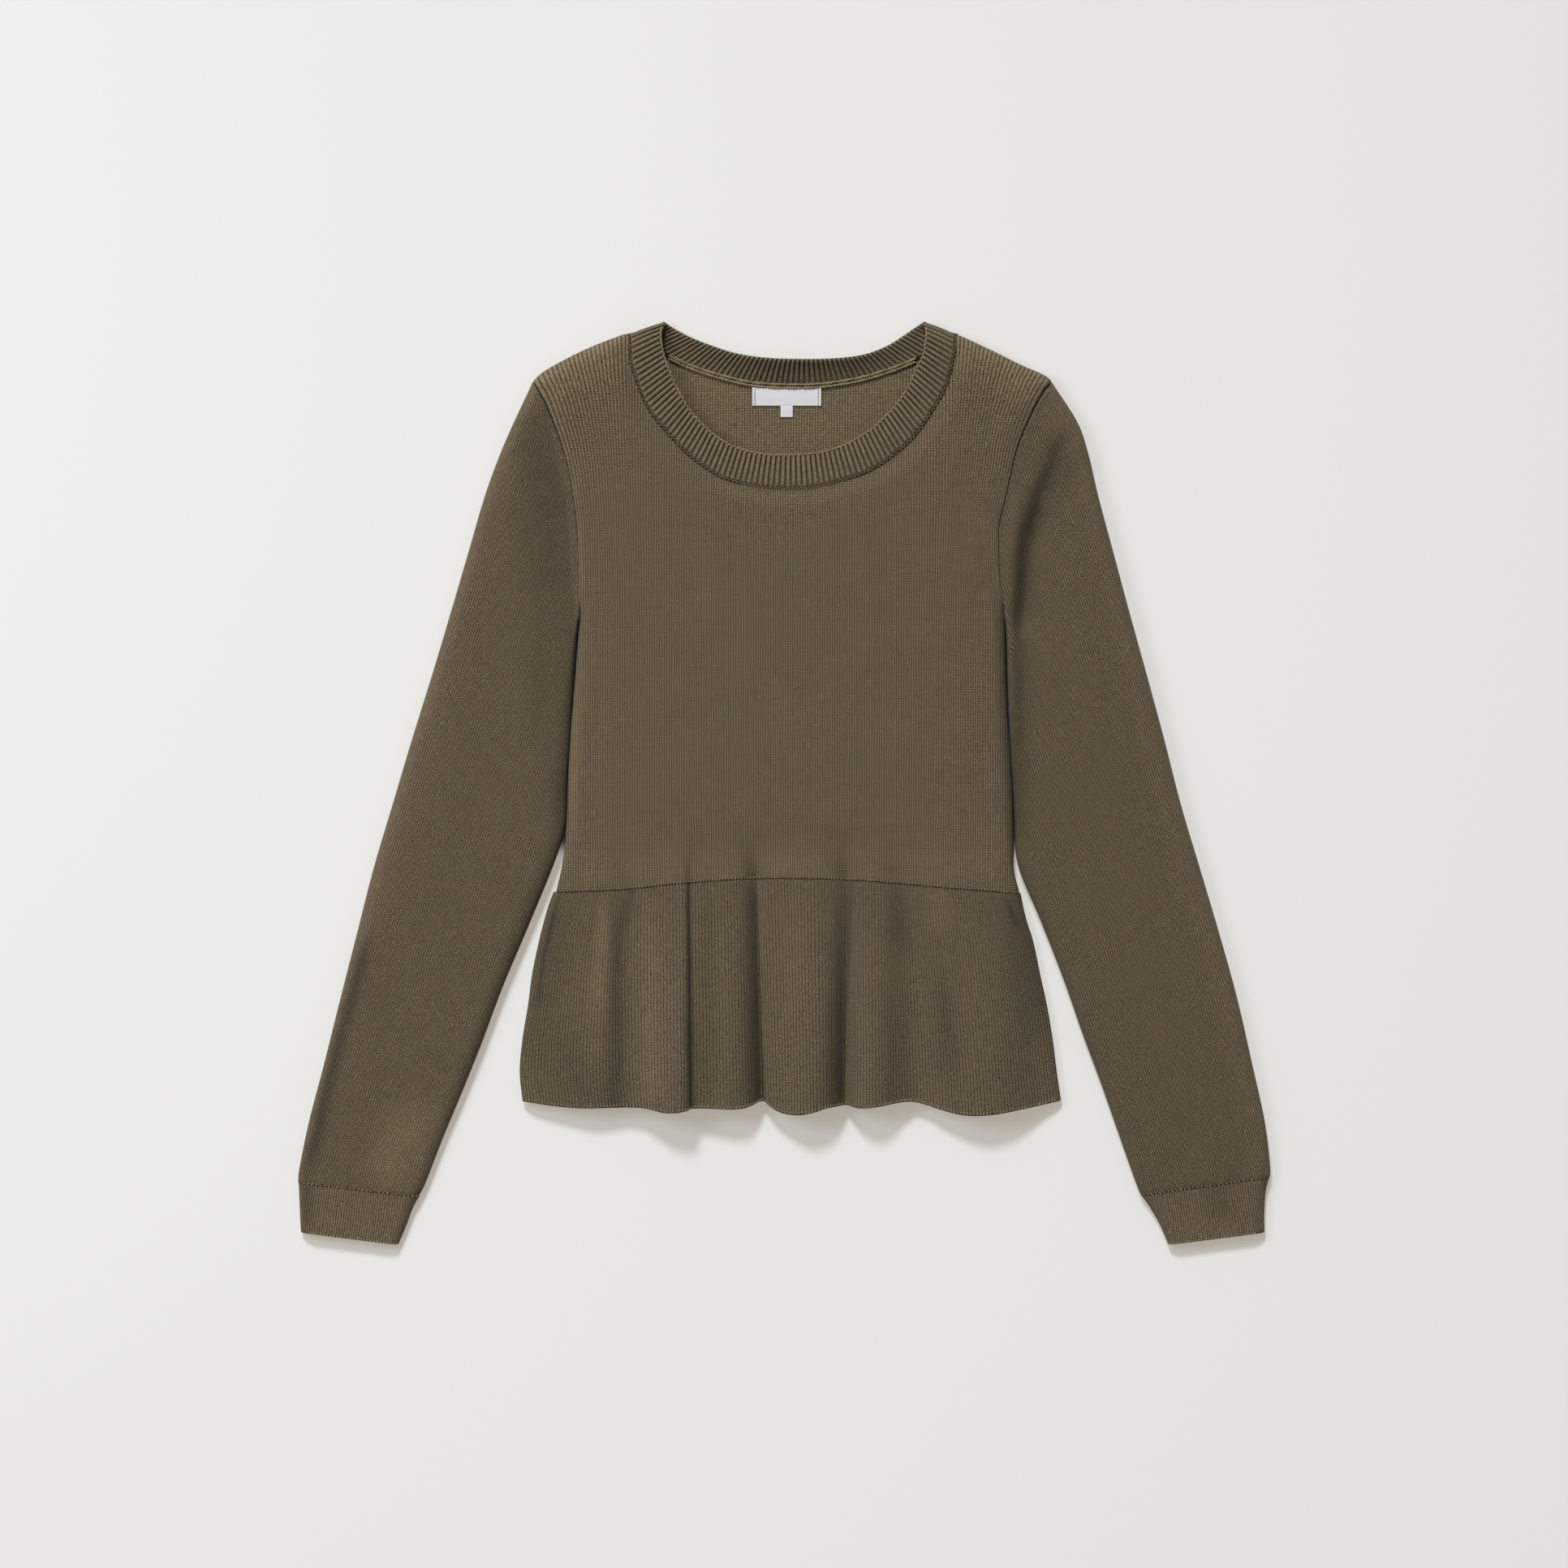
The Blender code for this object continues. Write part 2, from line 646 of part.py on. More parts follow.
def build_neckband(finish):
    """Ribbed neckband: one ring, folded flat at the shoulders."""
    table = np.array(NECKBAND, float)
    seam = band_edge(table[:, :3])
    free = band_edge(table[:, 3:])
    run = np.roll(free, -1, axis=0) - np.roll(free, 1, axis=0)
    run = run + np.roll(seam, -1, axis=0) - np.roll(seam, 1, axis=0)
    facing = np.cross(free - seam, run)
    facing = -facing / np.linalg.norm(facing, axis=1, keepdims=True)
    order = np.arange(len(seam))
    crest = np.where(order % RIB_POINTS == 0, 1.0, 0.0)[:, None]
    rise = FRONT_BAND_LEVEL - BACK_BAND_LEVEL
    front = ease((seam[:, 2] - BACK_BAND_LEVEL) / rise)[:, None]
    back = 1 - front
    half = BAND_WALL / 2
    outer, inner = [], []
    for share in (0.0, 0.5, 1.0):
        middle = seam + (free - seam) * share
        rib = RIB_HEIGHT * (1.0 if share == 0.5 else RIB_EDGE_SHARE)
        outer.append(middle + facing * (half + (crest - 0.5) * rib * front))
        inner.append(middle - facing * (half + (crest - 0.5) * rib * back))
    skin("neckband", np.array(outer), np.array(inner), True, finish)


def build_peplum_front(finish):
    """Gathered front of the peplum, with its lapped pleat and deep flutes."""
    left, right = curve(PEPLUM_LEFT, 60), curve(PEPLUM_RIGHT, 60)
    waist = curve(WAIST, 60)
    first, last = PEPLUM_FOLDS[0], PEPLUM_FOLDS[-1]
    grid = []
    for share in np.linspace(0, 1, PEPLUM_ROWS):
        west, east = along(left, [share])[0], along(right, [share])[0]
        rows = []
        for fold in PEPLUM_FOLDS:
            seam_y = np.interp(fold.waist_x, waist[:, 0], waist[:, 1]) - SEAM_GAP - 1.0
            x = fold.waist_x + (fold.hem_x - fold.waist_x) * share
            part = (fold.waist_x - first.waist_x) / (last.waist_x - first.waist_x)
            start = first.waist_x + (first.hem_x - first.waist_x) * share
            end = last.waist_x + (last.hem_x - last.waist_x) * share
            bulge_west = (west[0] - start) * max(0.0, 1 - part / PEPLUM_BULGE)
            bulge_east = (east[0] - end) * max(0.0, 1 - (1 - part) / PEPLUM_BULGE)
            x = x + bulge_west + bulge_east
            y = seam_y + (fold.hem_y - seam_y) * share
            rise = ease(share * 1.15)
            z = fold.waist_z + (fold.hem_z - fold.waist_z) * rise
            rows.append((x, y, z))
        grid.append(rows)
    outer = np.array(grid)[::-1]
    facing = normals(outer, False)
    facing[:, 0], facing[:, -1] = (-1, 0, 0), (1, 0, 0)
    skin("peplum_front", outer, outer - facing * KNIT_WALL, False, finish)


def build_peplum_back(finish):
    """Back of the peplum, lying flat with its sides curled up to the side seams."""
    left, right = curve(PEPLUM_LEFT, 60), curve(PEPLUM_RIGHT, 60)
    waist = curve(WAIST, 60)
    across = rolled_shares(right[0, 0] - left[0, 0], BACK_ROLL + 1, 14)
    hem = np.column_stack([np.linspace(-190, 201, 40), np.full(40, -229.5)])
    upward = np.linspace(0, 1, 6)
    top = along(waist, across) - np.array([0, SEAM_GAP + 1.0])
    top[0], top[-1] = left[0], right[0]
    plan = patch(left[::-1], right[::-1], hem, top, across, upward)
    side = np.minimum(distance(plan, left), distance(plan, right))
    lift = (SEAM_LEVEL - SEAM_GAP) * (1 - roll(side, BACK_ROLL))
    outer = np.dstack([plan, lift])
    facing = -normals(outer, False)
    facing[lift < FLAT_LIMIT] = (0, 0, -1)
    facing[:, 0], facing[:, -1] = (-1, 0, 0), (1, 0, 0)
    skin("peplum_back", outer, outer - facing * KNIT_WALL, False, finish)


def build_tag(name, centre, size, level, finish):
    """A small woven piece lying on the inside of the back."""
    across = np.linspace(-size[0] / 2, size[0] / 2, 5) + centre[0]
    upward = np.linspace(-size[1] / 2, size[1] / 2, 2) + centre[1]
    plan = np.stack(np.meshgrid(across, upward), axis=-1)
    top = np.dstack([plan, np.full(plan.shape[:2], level + LABEL_THICK)])
    skin(name, top, top - np.array([0, 0, LABEL_THICK]), False, finish)


def clear():
    """Start from an empty scene with one collection for the garment."""
    for item in list(bpy.data.objects):
        bpy.data.objects.remove(item)
    made = bpy.data.collections.new(COLLECTION)
    bpy.context.scene.collection.children.link(made)


def main():
    clear()
    olive = (0.125, 0.098, 0.062)
    white = (0.68, 0.68, 0.70)
    lines = body_lines()
    build_front(lines, material("knit_front", olive, 0.9))
    build_back(lines, material("knit_back", olive, 0.9))
    left_upper, left_lower = elbow_split(LEFT_SLEEVE)
    right_upper, right_lower = elbow_split(RIGHT_SLEEVE)
    tubes = [
        ("sleeve_left_upper", left_upper, armhole_of(LEFT_SIDE)),
        ("sleeve_left_lower", left_lower, None),
        ("sleeve_right_upper", right_upper, armhole_of(RIGHT_SIDE)),
        ("sleeve_right_lower", right_lower, None),
        ("cuff_left", curve(LEFT_CUFF, CUFF_ROWS), None),
        ("cuff_right", curve(RIGHT_CUFF, CUFF_ROWS), None),
    ]
    for name, rows, armhole in tubes:
        build_tube(name, rows, armhole, material("knit_" + name, olive, 0.9))
    build_neckband(material("rib_neckband", olive, 0.9))
    build_peplum_front(material("knit_peplum_front", olive, 0.9))
    build_peplum_back(material("knit_peplum_back", olive, 0.9))
    level = KNIT_WALL + SEAM_GAP
    build_tag("label", LABEL_CENTRE, LABEL_SIZE, level, material("label_satin", white, 0.5))
    tab = (LABEL_CENTRE[0], LABEL_CENTRE[1] - LABEL_SIZE[1] / 2 - TAB_SIZE[1] / 2 - SEAM_GAP)
    build_tag("size_tab", tab, TAB_SIZE, level, material("tab_satin", white, 0.5))


main()
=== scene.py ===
"""Peplum crew neck sweater, laid flat with its front up: its knit, its seams and the studio.

Plan sizes and heights are in millimetres and become metres where a mesh is made.
"""

import bpy
import numpy as np
from bpy.props import FloatProperty, FloatVectorProperty, PointerProperty
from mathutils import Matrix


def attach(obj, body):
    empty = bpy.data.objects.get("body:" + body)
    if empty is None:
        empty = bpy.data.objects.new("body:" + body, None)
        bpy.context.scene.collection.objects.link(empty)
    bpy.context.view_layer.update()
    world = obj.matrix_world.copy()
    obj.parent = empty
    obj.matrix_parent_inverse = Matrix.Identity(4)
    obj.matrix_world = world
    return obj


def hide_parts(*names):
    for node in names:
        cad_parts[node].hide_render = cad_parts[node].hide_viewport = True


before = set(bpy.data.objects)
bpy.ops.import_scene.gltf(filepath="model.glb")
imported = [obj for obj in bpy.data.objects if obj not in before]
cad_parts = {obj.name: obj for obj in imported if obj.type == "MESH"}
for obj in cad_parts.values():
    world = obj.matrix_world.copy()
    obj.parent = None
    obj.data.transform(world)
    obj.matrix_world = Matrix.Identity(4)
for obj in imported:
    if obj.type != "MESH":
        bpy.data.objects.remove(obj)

bl_info = {
    "name": "Peplum crew neck sweater",
    "version": (1, 0, 0),
    "blender": (4, 5, 0),
    "location": "3D View > Sidebar > Sweater",
    "description": "Builds a fine-knit sweater with a gathered peplum, laid flat",
    "category": "Object",
}

MM = 0.001
PHOTO_PIXELS = 1932
PIXEL = 0.59
CAMERA_HEIGHT = 6.0
FLOOR_SIZE = 16.0
FLOOR_LEVEL = -0.0003
SENSOR_WIDTH = 36.0

BODY_HEIGHT = 18.0
BODY_LENGTH = 370.0
ARMHOLE_HEIGHT = 15.0
NECK_HEIGHT = 14.6
WAIST_TOP = 15.0
SEAM_LEVEL = 5.0
SEAM_GAP = 0.2
WAIST_GAP = 0.8
FRONT_ROLL = 10.0
BACK_ROLL = 6.0
UNDERARM_Y = 116.0
UNDERARM_BLEND = 24.0
WAIST_SINK = 45.0
NECK_SINK = 14.0
ARMHOLE_SINK = 12.0
BAND_GAP = 1.2
CORNER_GAP = 0.5
CORNER_REACH = 14.0
SHOULDER_SHARE = 0.17
PEPLUM_BULGE = 0.25
TUBE_MIDDLE = 30
SHADE_LIMITS = (-0.45, 0.75)

BAND_WALL = 2.2
BAND_DEPTH = 24.0
BAND_CROWN = 0.5
FRONT_RIBS = 88
BACK_RIBS = 62
RIB_STEPS = 12
RIB_GROOVE = 0.19
SEAM_TRIM = 0.055
FREE_TRIM = 0.05

LABEL_X = 2.0
LABEL_Y = 281.5
TAB_Y = 270.7
LABEL_LEVEL = 2.0
LABEL_SIZE = (50.0, 13.0)
TAB_SIZE = (9.0, 8.0)

# Flat cuts in metres
BODY_CUT = (0.40, 0.42)
SLEEVE_CUT = (0.30, 0.62)
CUFF_CUT = (0.19, 0.048)
BAND_CUT = (0.55, 0.030)
PEPLUM_FRONT_CUT = (0.50, 0.17)
PEPLUM_BACK_CUT = (0.41, 0.165)

# Loops of yarn: the length, width and height of one
NECK_LOOP = (2.9, 0.85, 0.7)
FRONT_EDGE_LOOP = (3.2, 1.3, 1.1)
BACK_EDGE_LOOP = (3.0, 1.3, 1.1)
CHAIN_LOOP = (3.1, 1.6, 1.3)
WAIST_LOOP = (1.9, 0.8, 0.6)
HEM_LOOP = (2.3, 0.9, 0.8)
ARMHOLE_LOOP = (3.6, 0.8, 0.8)
CUFF_LOOP = (2.2, 0.9, 0.7)
LABEL_LOOP = (2.2, 0.55, 0.4)

# Plan points x, y of the bodice's edges
LEFT_SIDE = [
    (-165.5, -78), (-160.5, -55), (-158, -26), (-157, 4), (-155, 39), (-152, 75), (-150, 104),
    (-149, 122), (-149, 157), (-150, 187), (-153, 210), (-156, 228), (-162, 249), (-171, 272),
    (-182, 293),
]

RIGHT_SIDE = [
    (171, -79), (167, -62), (167, -43), (166, -8), (164, 27), (162, 63), (161, 104), (160, 128),
    (157, 145), (156, 163), (156, 187), (160, 204), (164, 222), (169, 243), (177, 263), (186, 281),
    (194, 293),
]

WAIST = [
    (-165.5, -78), (-118, -76), (-68, -71), (-16, -68), (47, -69), (121, -75), (171, -79),
]

LEFT_SHOULDER = [
    (-182, 293), (-174, 300), (-156, 310), (-139, 318), (-121, 325), (-113, 328),
]

RIGHT_SHOULDER = [
    (125, 327), (136, 322), (153, 314), (171, 305), (189, 297), (194, 293),
]

# Neckband rows from the left shoulder round the front and then the back:
# seam x, y, z, then free edge x, y, z. The front ends at the row BAND_TURN.
NECKBAND = [
    (-112, 326, 8.5, -86, 335, 8.5), (-111, 317, 14, -89, 326, 13), (-110, 306, 15, -87, 313, 13.4),
    (-107, 296, 15.2, -83, 301, 13.4), (-102, 282, 15.2, -76, 285, 13.2),
    (-95, 269, 15, -67, 270, 12.8), (-85, 257, 14.8, -57, 259, 12.4),
    (-73, 244, 14.6, -44, 249, 12), (-60, 233, 14.4, -30, 243, 11.6),
    (-41, 222, 14.2, -17, 240, 11.4), (-12, 216, 14, -1, 239, 11.2), (19, 216, 14, 19, 240, 11.2),
    (51, 224, 14.2, 35, 243, 11.4), (67, 231, 14.4, 51, 250, 11.6), (81, 241, 14.6, 65, 259, 12),
    (94, 253, 14.8, 78, 272, 12.4), (106, 270, 15, 88, 285, 12.8), (116, 288, 15.2, 96, 302, 13.2),
    (121, 305, 15, 101, 313, 13.4), (123, 316, 14, 103, 326, 13), (124, 326, 8.5, 101, 335, 8.5),
    (119, 322, 3, 96, 332, 4), (108, 315, 2.3, 86, 325, 4.6), (94, 309, 2.2, 75, 318, 6),
    (76, 302, 2.2, 60, 312, 8.6), (51, 295, 2.2, 42, 309, 11), (19, 291, 2.2, 18, 308, 12.4),
    (-19, 292, 2.2, -12, 309, 12), (-47, 298, 2.2, -35, 312.5, 9.4), (-68, 305, 2.2, -52, 318, 7),
    (-86, 313, 2.2, -67, 324, 5), (-102, 320, 3, -80, 331, 4),
]

BAND_TURN = 20

# Rows down a sleeve or a cuff: outer edge x, y, inner edge x, y, height,
# how far it bows with the armhole, and the inner edge's roll
LEFT_SLEEVE = [
    (-182.6, 291.6, -149.3, 116, 15, 1, 10), (-196, 263, -150.4, 104, 15.6, 0.8, 12),
    (-206, 240, -151.6, 89, 16, 0.6, 14), (-217, 210, -152.9, 72, 16.2, 0.4, 16),
    (-229, 169, -154.6, 48, 16.2, 0.2, 17), (-241, 128, -156, 24, 16.2, 0.1, 17),
    (-255, 81, -157.6, -2, 16.2, 0, 16), (-270, 33, -158.7, -29, 16, 0, 15),
    (-284, -14, -165.5, -54, 15.8, 0, 14), (-298, -61, -185, -102, 15.4, 0, 12),
    (-310, -108, -204, -147, 15, 0, 11), (-322, -155, -219, -187, 14.4, 0, 10),
    (-334, -203, -233, -222, 13.6, 0, 10), (-345, -245, -248, -258, 12.6, 0, 10),
    (-352, -279, -260, -289, 11.6, 0, 9), (-353, -289, -265, -299, 11, 0, 9),
]

RIGHT_SLEEVE = [
    (194.6, 291.6, 160.9, 116, 15, 1, 10), (213, 263, 161.7, 101, 15.6, 0.8, 12),
    (221, 240, 162, 86, 16, 0.6, 14), (228, 210, 162.4, 69, 16.2, 0.4, 14),
    (239, 169, 163.6, 45, 16.2, 0.2, 13), (250, 128, 164.9, 22, 16.2, 0.1, 12),
    (263, 81, 166.4, -5, 16.2, 0, 12), (276, 33, 167.4, -32, 16, 0, 12),
    (288, -14, 170.2, -60, 15.8, 0, 12), (302, -61, 187, -101, 15.4, 0, 11),
    (316, -108, 203, -142, 15, 0, 10), (329, -155, 217, -182, 14.4, 0, 10),
    (340, -203, 230, -217, 13.6, 0, 10), (349, -244, 244, -257, 12.6, 0, 10),
    (353, -276, 255, -288, 11.6, 0, 9), (353, -285, 259, -298, 11, 0, 9),
]

LEFT_CUFF = [
    (-352.6, -289.6, -265, -299.6, 10.6, 0, 8), (-352, -303, -270, -309, 10, 0, 8),
    (-351.6, -313, -274, -320, 9.6, 0, 8), (-351, -325, -280, -334, 9.4, 0, 8),
]

RIGHT_CUFF = [
    (352.6, -285.6, 259.5, -298.6, 10.6, 0, 8), (350, -296, 266, -308, 10, 0, 8),
    (349, -310, 273, -320, 9.6, 0, 8), (349, -325, 279, -334, 9.4, 0, 8),
]

# Folds of the peplum from left to right: waist x, z, then hem x, y, z
PEPLUM_FOLDS = [
    (-167.6, 5, -190, -229.8, 5), (-165.8, 9.5, -188.2, -230.1, 8),
    (-162.8, 12, -182.9, -230.7, 10.5), (-156.3, 13, -172.9, -232.2, 12.5),
    (-146.9, 13.4, -158.1, -233.9, 14.5), (-135.7, 14.2, -143.4, -234.5, 17.5),
    (-125.7, 13.4, -129.8, -234.2, 17), (-118, 12.2, -118, -233.9, 15.5),
    (-112.7, 13, -111.5, -233.9, 16), (-105.6, 14.6, -103.2, -234.2, 18),
    (-97.3, 15.6, -95.6, -235.7, 22), (-89.1, 16.4, -87.3, -237.5, 26),
    (-80.8, 16.8, -79.1, -237.5, 28.8), (-74.3, 16.4, -72.6, -236.6, 29.2),
    (-70.5, 14.6, -68.7, -235.7, 27), (-69, 12, -67.6, -234.8, 22.5),
    (-66.7, 11.6, -64.9, -234.5, 20), (-59.6, 12.6, -57.2, -234.5, 19.8),
    (-50.1, 13.6, -47.8, -234.8, 21.6), (-40.7, 13.6, -38.4, -235.1, 23),
    (-32.4, 12.8, -29.5, -234.5, 21.5), (-26, 11.4, -22.4, -232.2, 17),
    (-21.2, 9.8, -17.1, -229.8, 10), (-19.5, 9.6, -14.8, -229.5, 9.6),
    (-16.5, 11.6, -11.8, -232.2, 12), (-11.2, 13.4, -6.5, -236, 15.5),
    (-1.8, 14.4, 1.8, -238.7, 19), (8.8, 14.8, 11.2, -239.2, 24.5),
    (19.5, 14.4, 21.8, -237.2, 26.2), (28.9, 13, 30.1, -234.5, 24.5),
    (36.6, 11.6, 37.2, -233.3, 19), (42.5, 9.9, 42.5, -232.5, 11.5), (45.4, 9.6, 45.1, -232.2, 10),
    (48.4, 11.4, 47.8, -233, 14), (53.7, 13.4, 53.1, -234.2, 20.5), (61.9, 14.2, 62.5, -233.9, 25),
    (71.4, 13.6, 72.6, -232.5, 23.5), (79.6, 12.8, 82, -230.7, 17.5),
    (87.9, 12.4, 92.6, -229.8, 11.8), (95, 12.8, 102.1, -231.9, 12),
    (103.2, 13.8, 113.9, -235.7, 15.5), (115, 14, 128, -239.2, 19.5),
    (126.8, 13.8, 142.2, -239.8, 22.6), (139.8, 13.4, 157.5, -238.1, 22),
    (151.6, 13.2, 172.9, -235.1, 17), (161.1, 12.6, 185.8, -232.5, 11),
    (168.1, 10, 195.3, -230.4, 8), (172.3, 5, 200.6, -229.2, 5),
]

# Plan points x, y of the peplum's side edges
PEPLUM_LEFT = [
    (-167.5, -79.5), (-171, -88), (-175, -102), (-178, -114), (-183, -138), (-186, -161),
    (-190, -185), (-192, -209), (-190, -230),
]

PEPLUM_RIGHT = [
    (172, -80.5), (174, -91), (177, -102), (181, -114), (186, -138), (191, -161), (195, -185),
    (198, -209), (201, -229),
]

# Soft creases: a line from x1, y1 to x2, y2, its height and its width
LEFT_SLEEVE_CREASES = [
    (-180, 266, -168, 215, -3.6, 15), (-168, 215, -167, 130, -4.4, 16),
    (-167, 130, -173, 20, -3.4, 13), (-198, 235, -202, 100, 1, 12), (-230, 60, -262, -90, 0.6, 14),
    (-262, -196, -245, -214, -0.9, 4), (-258, -186, -240, -204, 0.8, 4),
    (-275, -255, -292, -286, 1, 12), (-300, -210, -288, -240, -0.6, 8),
]

RIGHT_SLEEVE_CREASES = [
    (203, 248, 187, 207, -5, 7), (187, 207, 177, 163, -6.4, 8), (177, 163, 173, 112, -6.4, 7),
    (208, 240, 192, 185, -1.6, 18), (192, 185, 184, 100, -2.6, 18), (171, 210, 164.5, 160, 1.2, 4),
    (240, 150, 262, 60, 0.6, 14), (300, -250, 282, -284, -0.6, 8), (330, -255, 340, -280, -0.5, 7),
]

BODY_CREASES = [
    (-150, 60, -120, 90, 0.4, 12), (-60, 120, 30, 100, 0.4, 22), (60, 10, 110, 40, 0.35, 20),
    (-120, -20, -60, 20, 0.35, 18), (170, 283, 160, 240, 0.5, 5),
]

# Painted shade of folds, taken into the cloth's colour: a line down from x1, y1 to x2, y2,
# how dark it is (painted light below 0), and how wide at its left and at its right
BODY_SHADES = [
    (-24, -54, -20, -92, 0.44, 7, 5), (42, -54, 47.5, -92, 0.38, 7, 4),
    (76, -54, 84, -92, 0.17, 9, 7), (-70, -62, -69, -92, 0.24, 4, 3),
    (-116, -60, -112, -92, 0.10, 8, 6), (-165, -58, 175, -56, -0.22, 18, 18),
    (-151, 120, -154, -30, -0.24, 5, 5),
]

LEFT_SLEEVE_SHADES = [
    (-173, 262, -160, 205, 0.26, 24, 3), (-160, 205, -154, 118, 0.27, 22, 3),
    (-154, 118, -158, -20, 0.24, 18, 3), (-303, -115, -326, -197, 0.46, 4.5, 6),
    (-326, -197, -347, -284, 0.50, 4.5, 6), (-262, -235, -292, -295, -0.36, 18, 18),
]

RIGHT_SLEEVE_SHADES = [
    (202, 242, 183, 204, 0.36, 5, 14), (183, 204, 173.5, 181, 0.44, 4, 13),
    (173.5, 181, 169, 122, 0.46, 4, 11), (169, 122, 168, -40, 0.36, 4, 8),
]

CUFF_SHADES = [
    (-347, -285, -347, -325, 0.36, 4, 5), (312, -290, 318, -315, 0.2, 12, 12),
]

PEPLUM_SHADES = [
    (-20.8, -70, -13.8, -250, 0.44, 7, 0.7), (49.2, -70, 41, -250, 0.36, 7.5, 1.1),
    (-69, -72, -67.5, -250, 0.32, 2.6, 1), (-108, -66, -120, -112, 0.30, 3, 3),
    (-120, -112, -122, -250, 0.34, 4.5, 4), (-129, -84, -138, -205, -0.16, 5, 4),
    (-155, -175, -150, -237, 0.16, 10, 10), (-98, -82, -97, -237, -0.18, 4, 5),
    (8, -76, 6, -160, -0.06, 5, 6), (-130, -78, -136, -160, -0.28, 3.5, 3.5),
    (80, -74, 84, -120, 0.22, 5, 5), (112, -74, 112, -105, -0.20, 6, 6),
    (115, -140, 122, -215, 0.22, 6, 4), (-56, -76, -56, -230, 0.16, 5, 5),
    (168, -82, 186, -180, 0.22, 10, 10), (-170, -84, -187, -205, 0.18, 10, 10),
    (-163.4, -80, -174, -124, 0.34, 1.1, 1.1), (-174, -124, -179, -160, 0.28, 1.1, 1.1),
    (161, -84, 169.5, -104, 0.34, 1.1, 1.1),
]

# Edges that the stitching follows, kept as the pieces are built
SEAMS = {}


def along(line, shares):
    """Points at the given shares of a line's length."""
    lengths = np.r_[0, np.cumsum(np.linalg.norm(np.diff(line, axis=0), axis=1))]
    wanted = np.asarray(shares) * lengths[-1]
    return np.array([np.interp(wanted, lengths, axis) for axis in line.T]).T


def curve(rows, count):
    """Rows joined by a smooth cubic and spread evenly along its length."""
    ends = np.array(rows, float)
    ends = np.vstack([2 * ends[0] - ends[1], ends, 2 * ends[-1] - ends[-2]])
    steps = np.linspace(0, 1, 24, endpoint=False)[:, None]
    fine = []
    for a, b, c, d in zip(ends, ends[1:], ends[2:], ends[3:]):
        bend = (2 * a - 5 * b + 4 * c - d) * steps**2 + (3 * b - a - 3 * c + d) * steps**3
        fine.append(0.5 * (2 * b + (c - a) * steps + bend))
    return along(np.vstack([*fine, ends[-2]]), np.linspace(0, 1, count))


def levelled(rows, level):
    """Rows with one more column, the same in all."""
    return np.column_stack([rows, np.full(len(rows), level)])


def wrapped(grid):
    """A closed grid with its first column again at its end."""
    return np.concatenate([grid, grid[:, :1]], axis=1)


def rightward(line):
    """Unit plan vectors to the right of the way that a line runs."""
    run = np.gradient(line, axis=0)
    side = np.stack([run[:, 1], -run[:, 0]], axis=1)
    return side / np.linalg.norm(side, axis=1, keepdims=True)


def distance(points, line):
    """Plan distance from each grid point to a line of short steps."""
    best = np.full(points.shape[:-1], 1e9)
    for a, b in zip(line[:-1], line[1:]):
        step = b - a
        share = np.clip(((points - a) @ step) / (step @ step), 0, 1)
        gap = np.linalg.norm(points - a - share[..., None] * step, axis=-1)
        best = np.minimum(best, gap)
    return best


def ease(value):
    """A soft step from 0 to 1."""
    value = np.clip(value, 0, 1)
    return value * value * (3 - 2 * value)


def roll(gap, radius):
    """Share of the full height reached at a distance from a rolled edge."""
    return np.sqrt(np.clip(1 - (1 - np.clip(gap / radius, 0, 1)) ** 2, 0, 1))


def line_place(plan, x1, y1, x2, y2):
    """Share of the way along a line, distance to its side, and its length."""
    step, offset = np.array([x2 - x1, y2 - y1]), plan - np.array([x1, y1])
    length = np.hypot(*step)
    gap = (step[0] * offset[..., 1] - step[1] * offset[..., 0]) / length
    return (offset @ step) / length**2, gap, length


def faded(share, fade):
    """Full along a line, and gone at a share of its length past either end."""
    return ease((share + fade) / (2 * fade)) * ease((1 + fade - share) / (2 * fade))


def creased(plan, creases):
    """Height of soft troughs and ridges laid one by one on a plan grid."""
    height = np.zeros(plan.shape[:-1])
    for *line, depth, width in creases:
        share, gap, _ = line_place(plan, *line)
        height += depth * np.exp(-((gap / width) ** 2)) * faded(share, 0.25)
    return height


def shaded(plan, shades, grow=1.0):
    """Painted shade: how dark folds stand in their own shadow, which may grow wider down each line;
    painted light below 0.
    """
    total = np.zeros(plan.shape[:-1])
    for *line, dark, left, right in shades:
        share, gap, length = line_place(plan, *line)
        width = np.where(gap > 0, right, left) * (1 + (grow - 1) * np.clip(share, 0, 1) ** 0.5)
        total += dark * np.exp(-((gap / width) ** 2)) * faded(share, min(0.3, 20 / length))
    return np.clip(total, *SHADE_LIMITS)


def patch(left, right, bottom, top, across, upward, reach=0.5):
    """Grid of plan points held by four edge lines, rows from bottom to top."""
    u, v = across[None, :, None], upward[:, None, None]
    ruled = (1 - v) * along(bottom, across)[None] + v * top[None]
    west = along(left, upward)[:, None] - ruled[:, :1]
    east = along(right, upward)[:, None] - ruled[:, -1:]
    ruled = ruled + np.clip(1 - u / reach, 0, 1) * west
    return ruled + np.clip(1 - (1 - u) / reach, 0, 1) * east


def normals(grid):
    """Unit normals of a grid of points, upward for rows up and columns right."""
    found = np.cross(np.gradient(grid, axis=1), np.gradient(grid, axis=0))
    return found / np.maximum(np.linalg.norm(found, axis=-1, keepdims=True), 1e-9)


def rim_rows(outer, inner, beyond):
    """Three rows that round a free edge from its outer to its inner side."""
    middle = (outer + inner) / 2
    half = outer - middle
    out = outer - beyond
    out = out / np.maximum(np.linalg.norm(out, axis=1, keepdims=True), 1e-9)
    out = out * np.linalg.norm(half, axis=1, keepdims=True)
    return [middle + half * np.cos(t) + out * np.sin(t) for t in np.radians([45, 90, 135])]


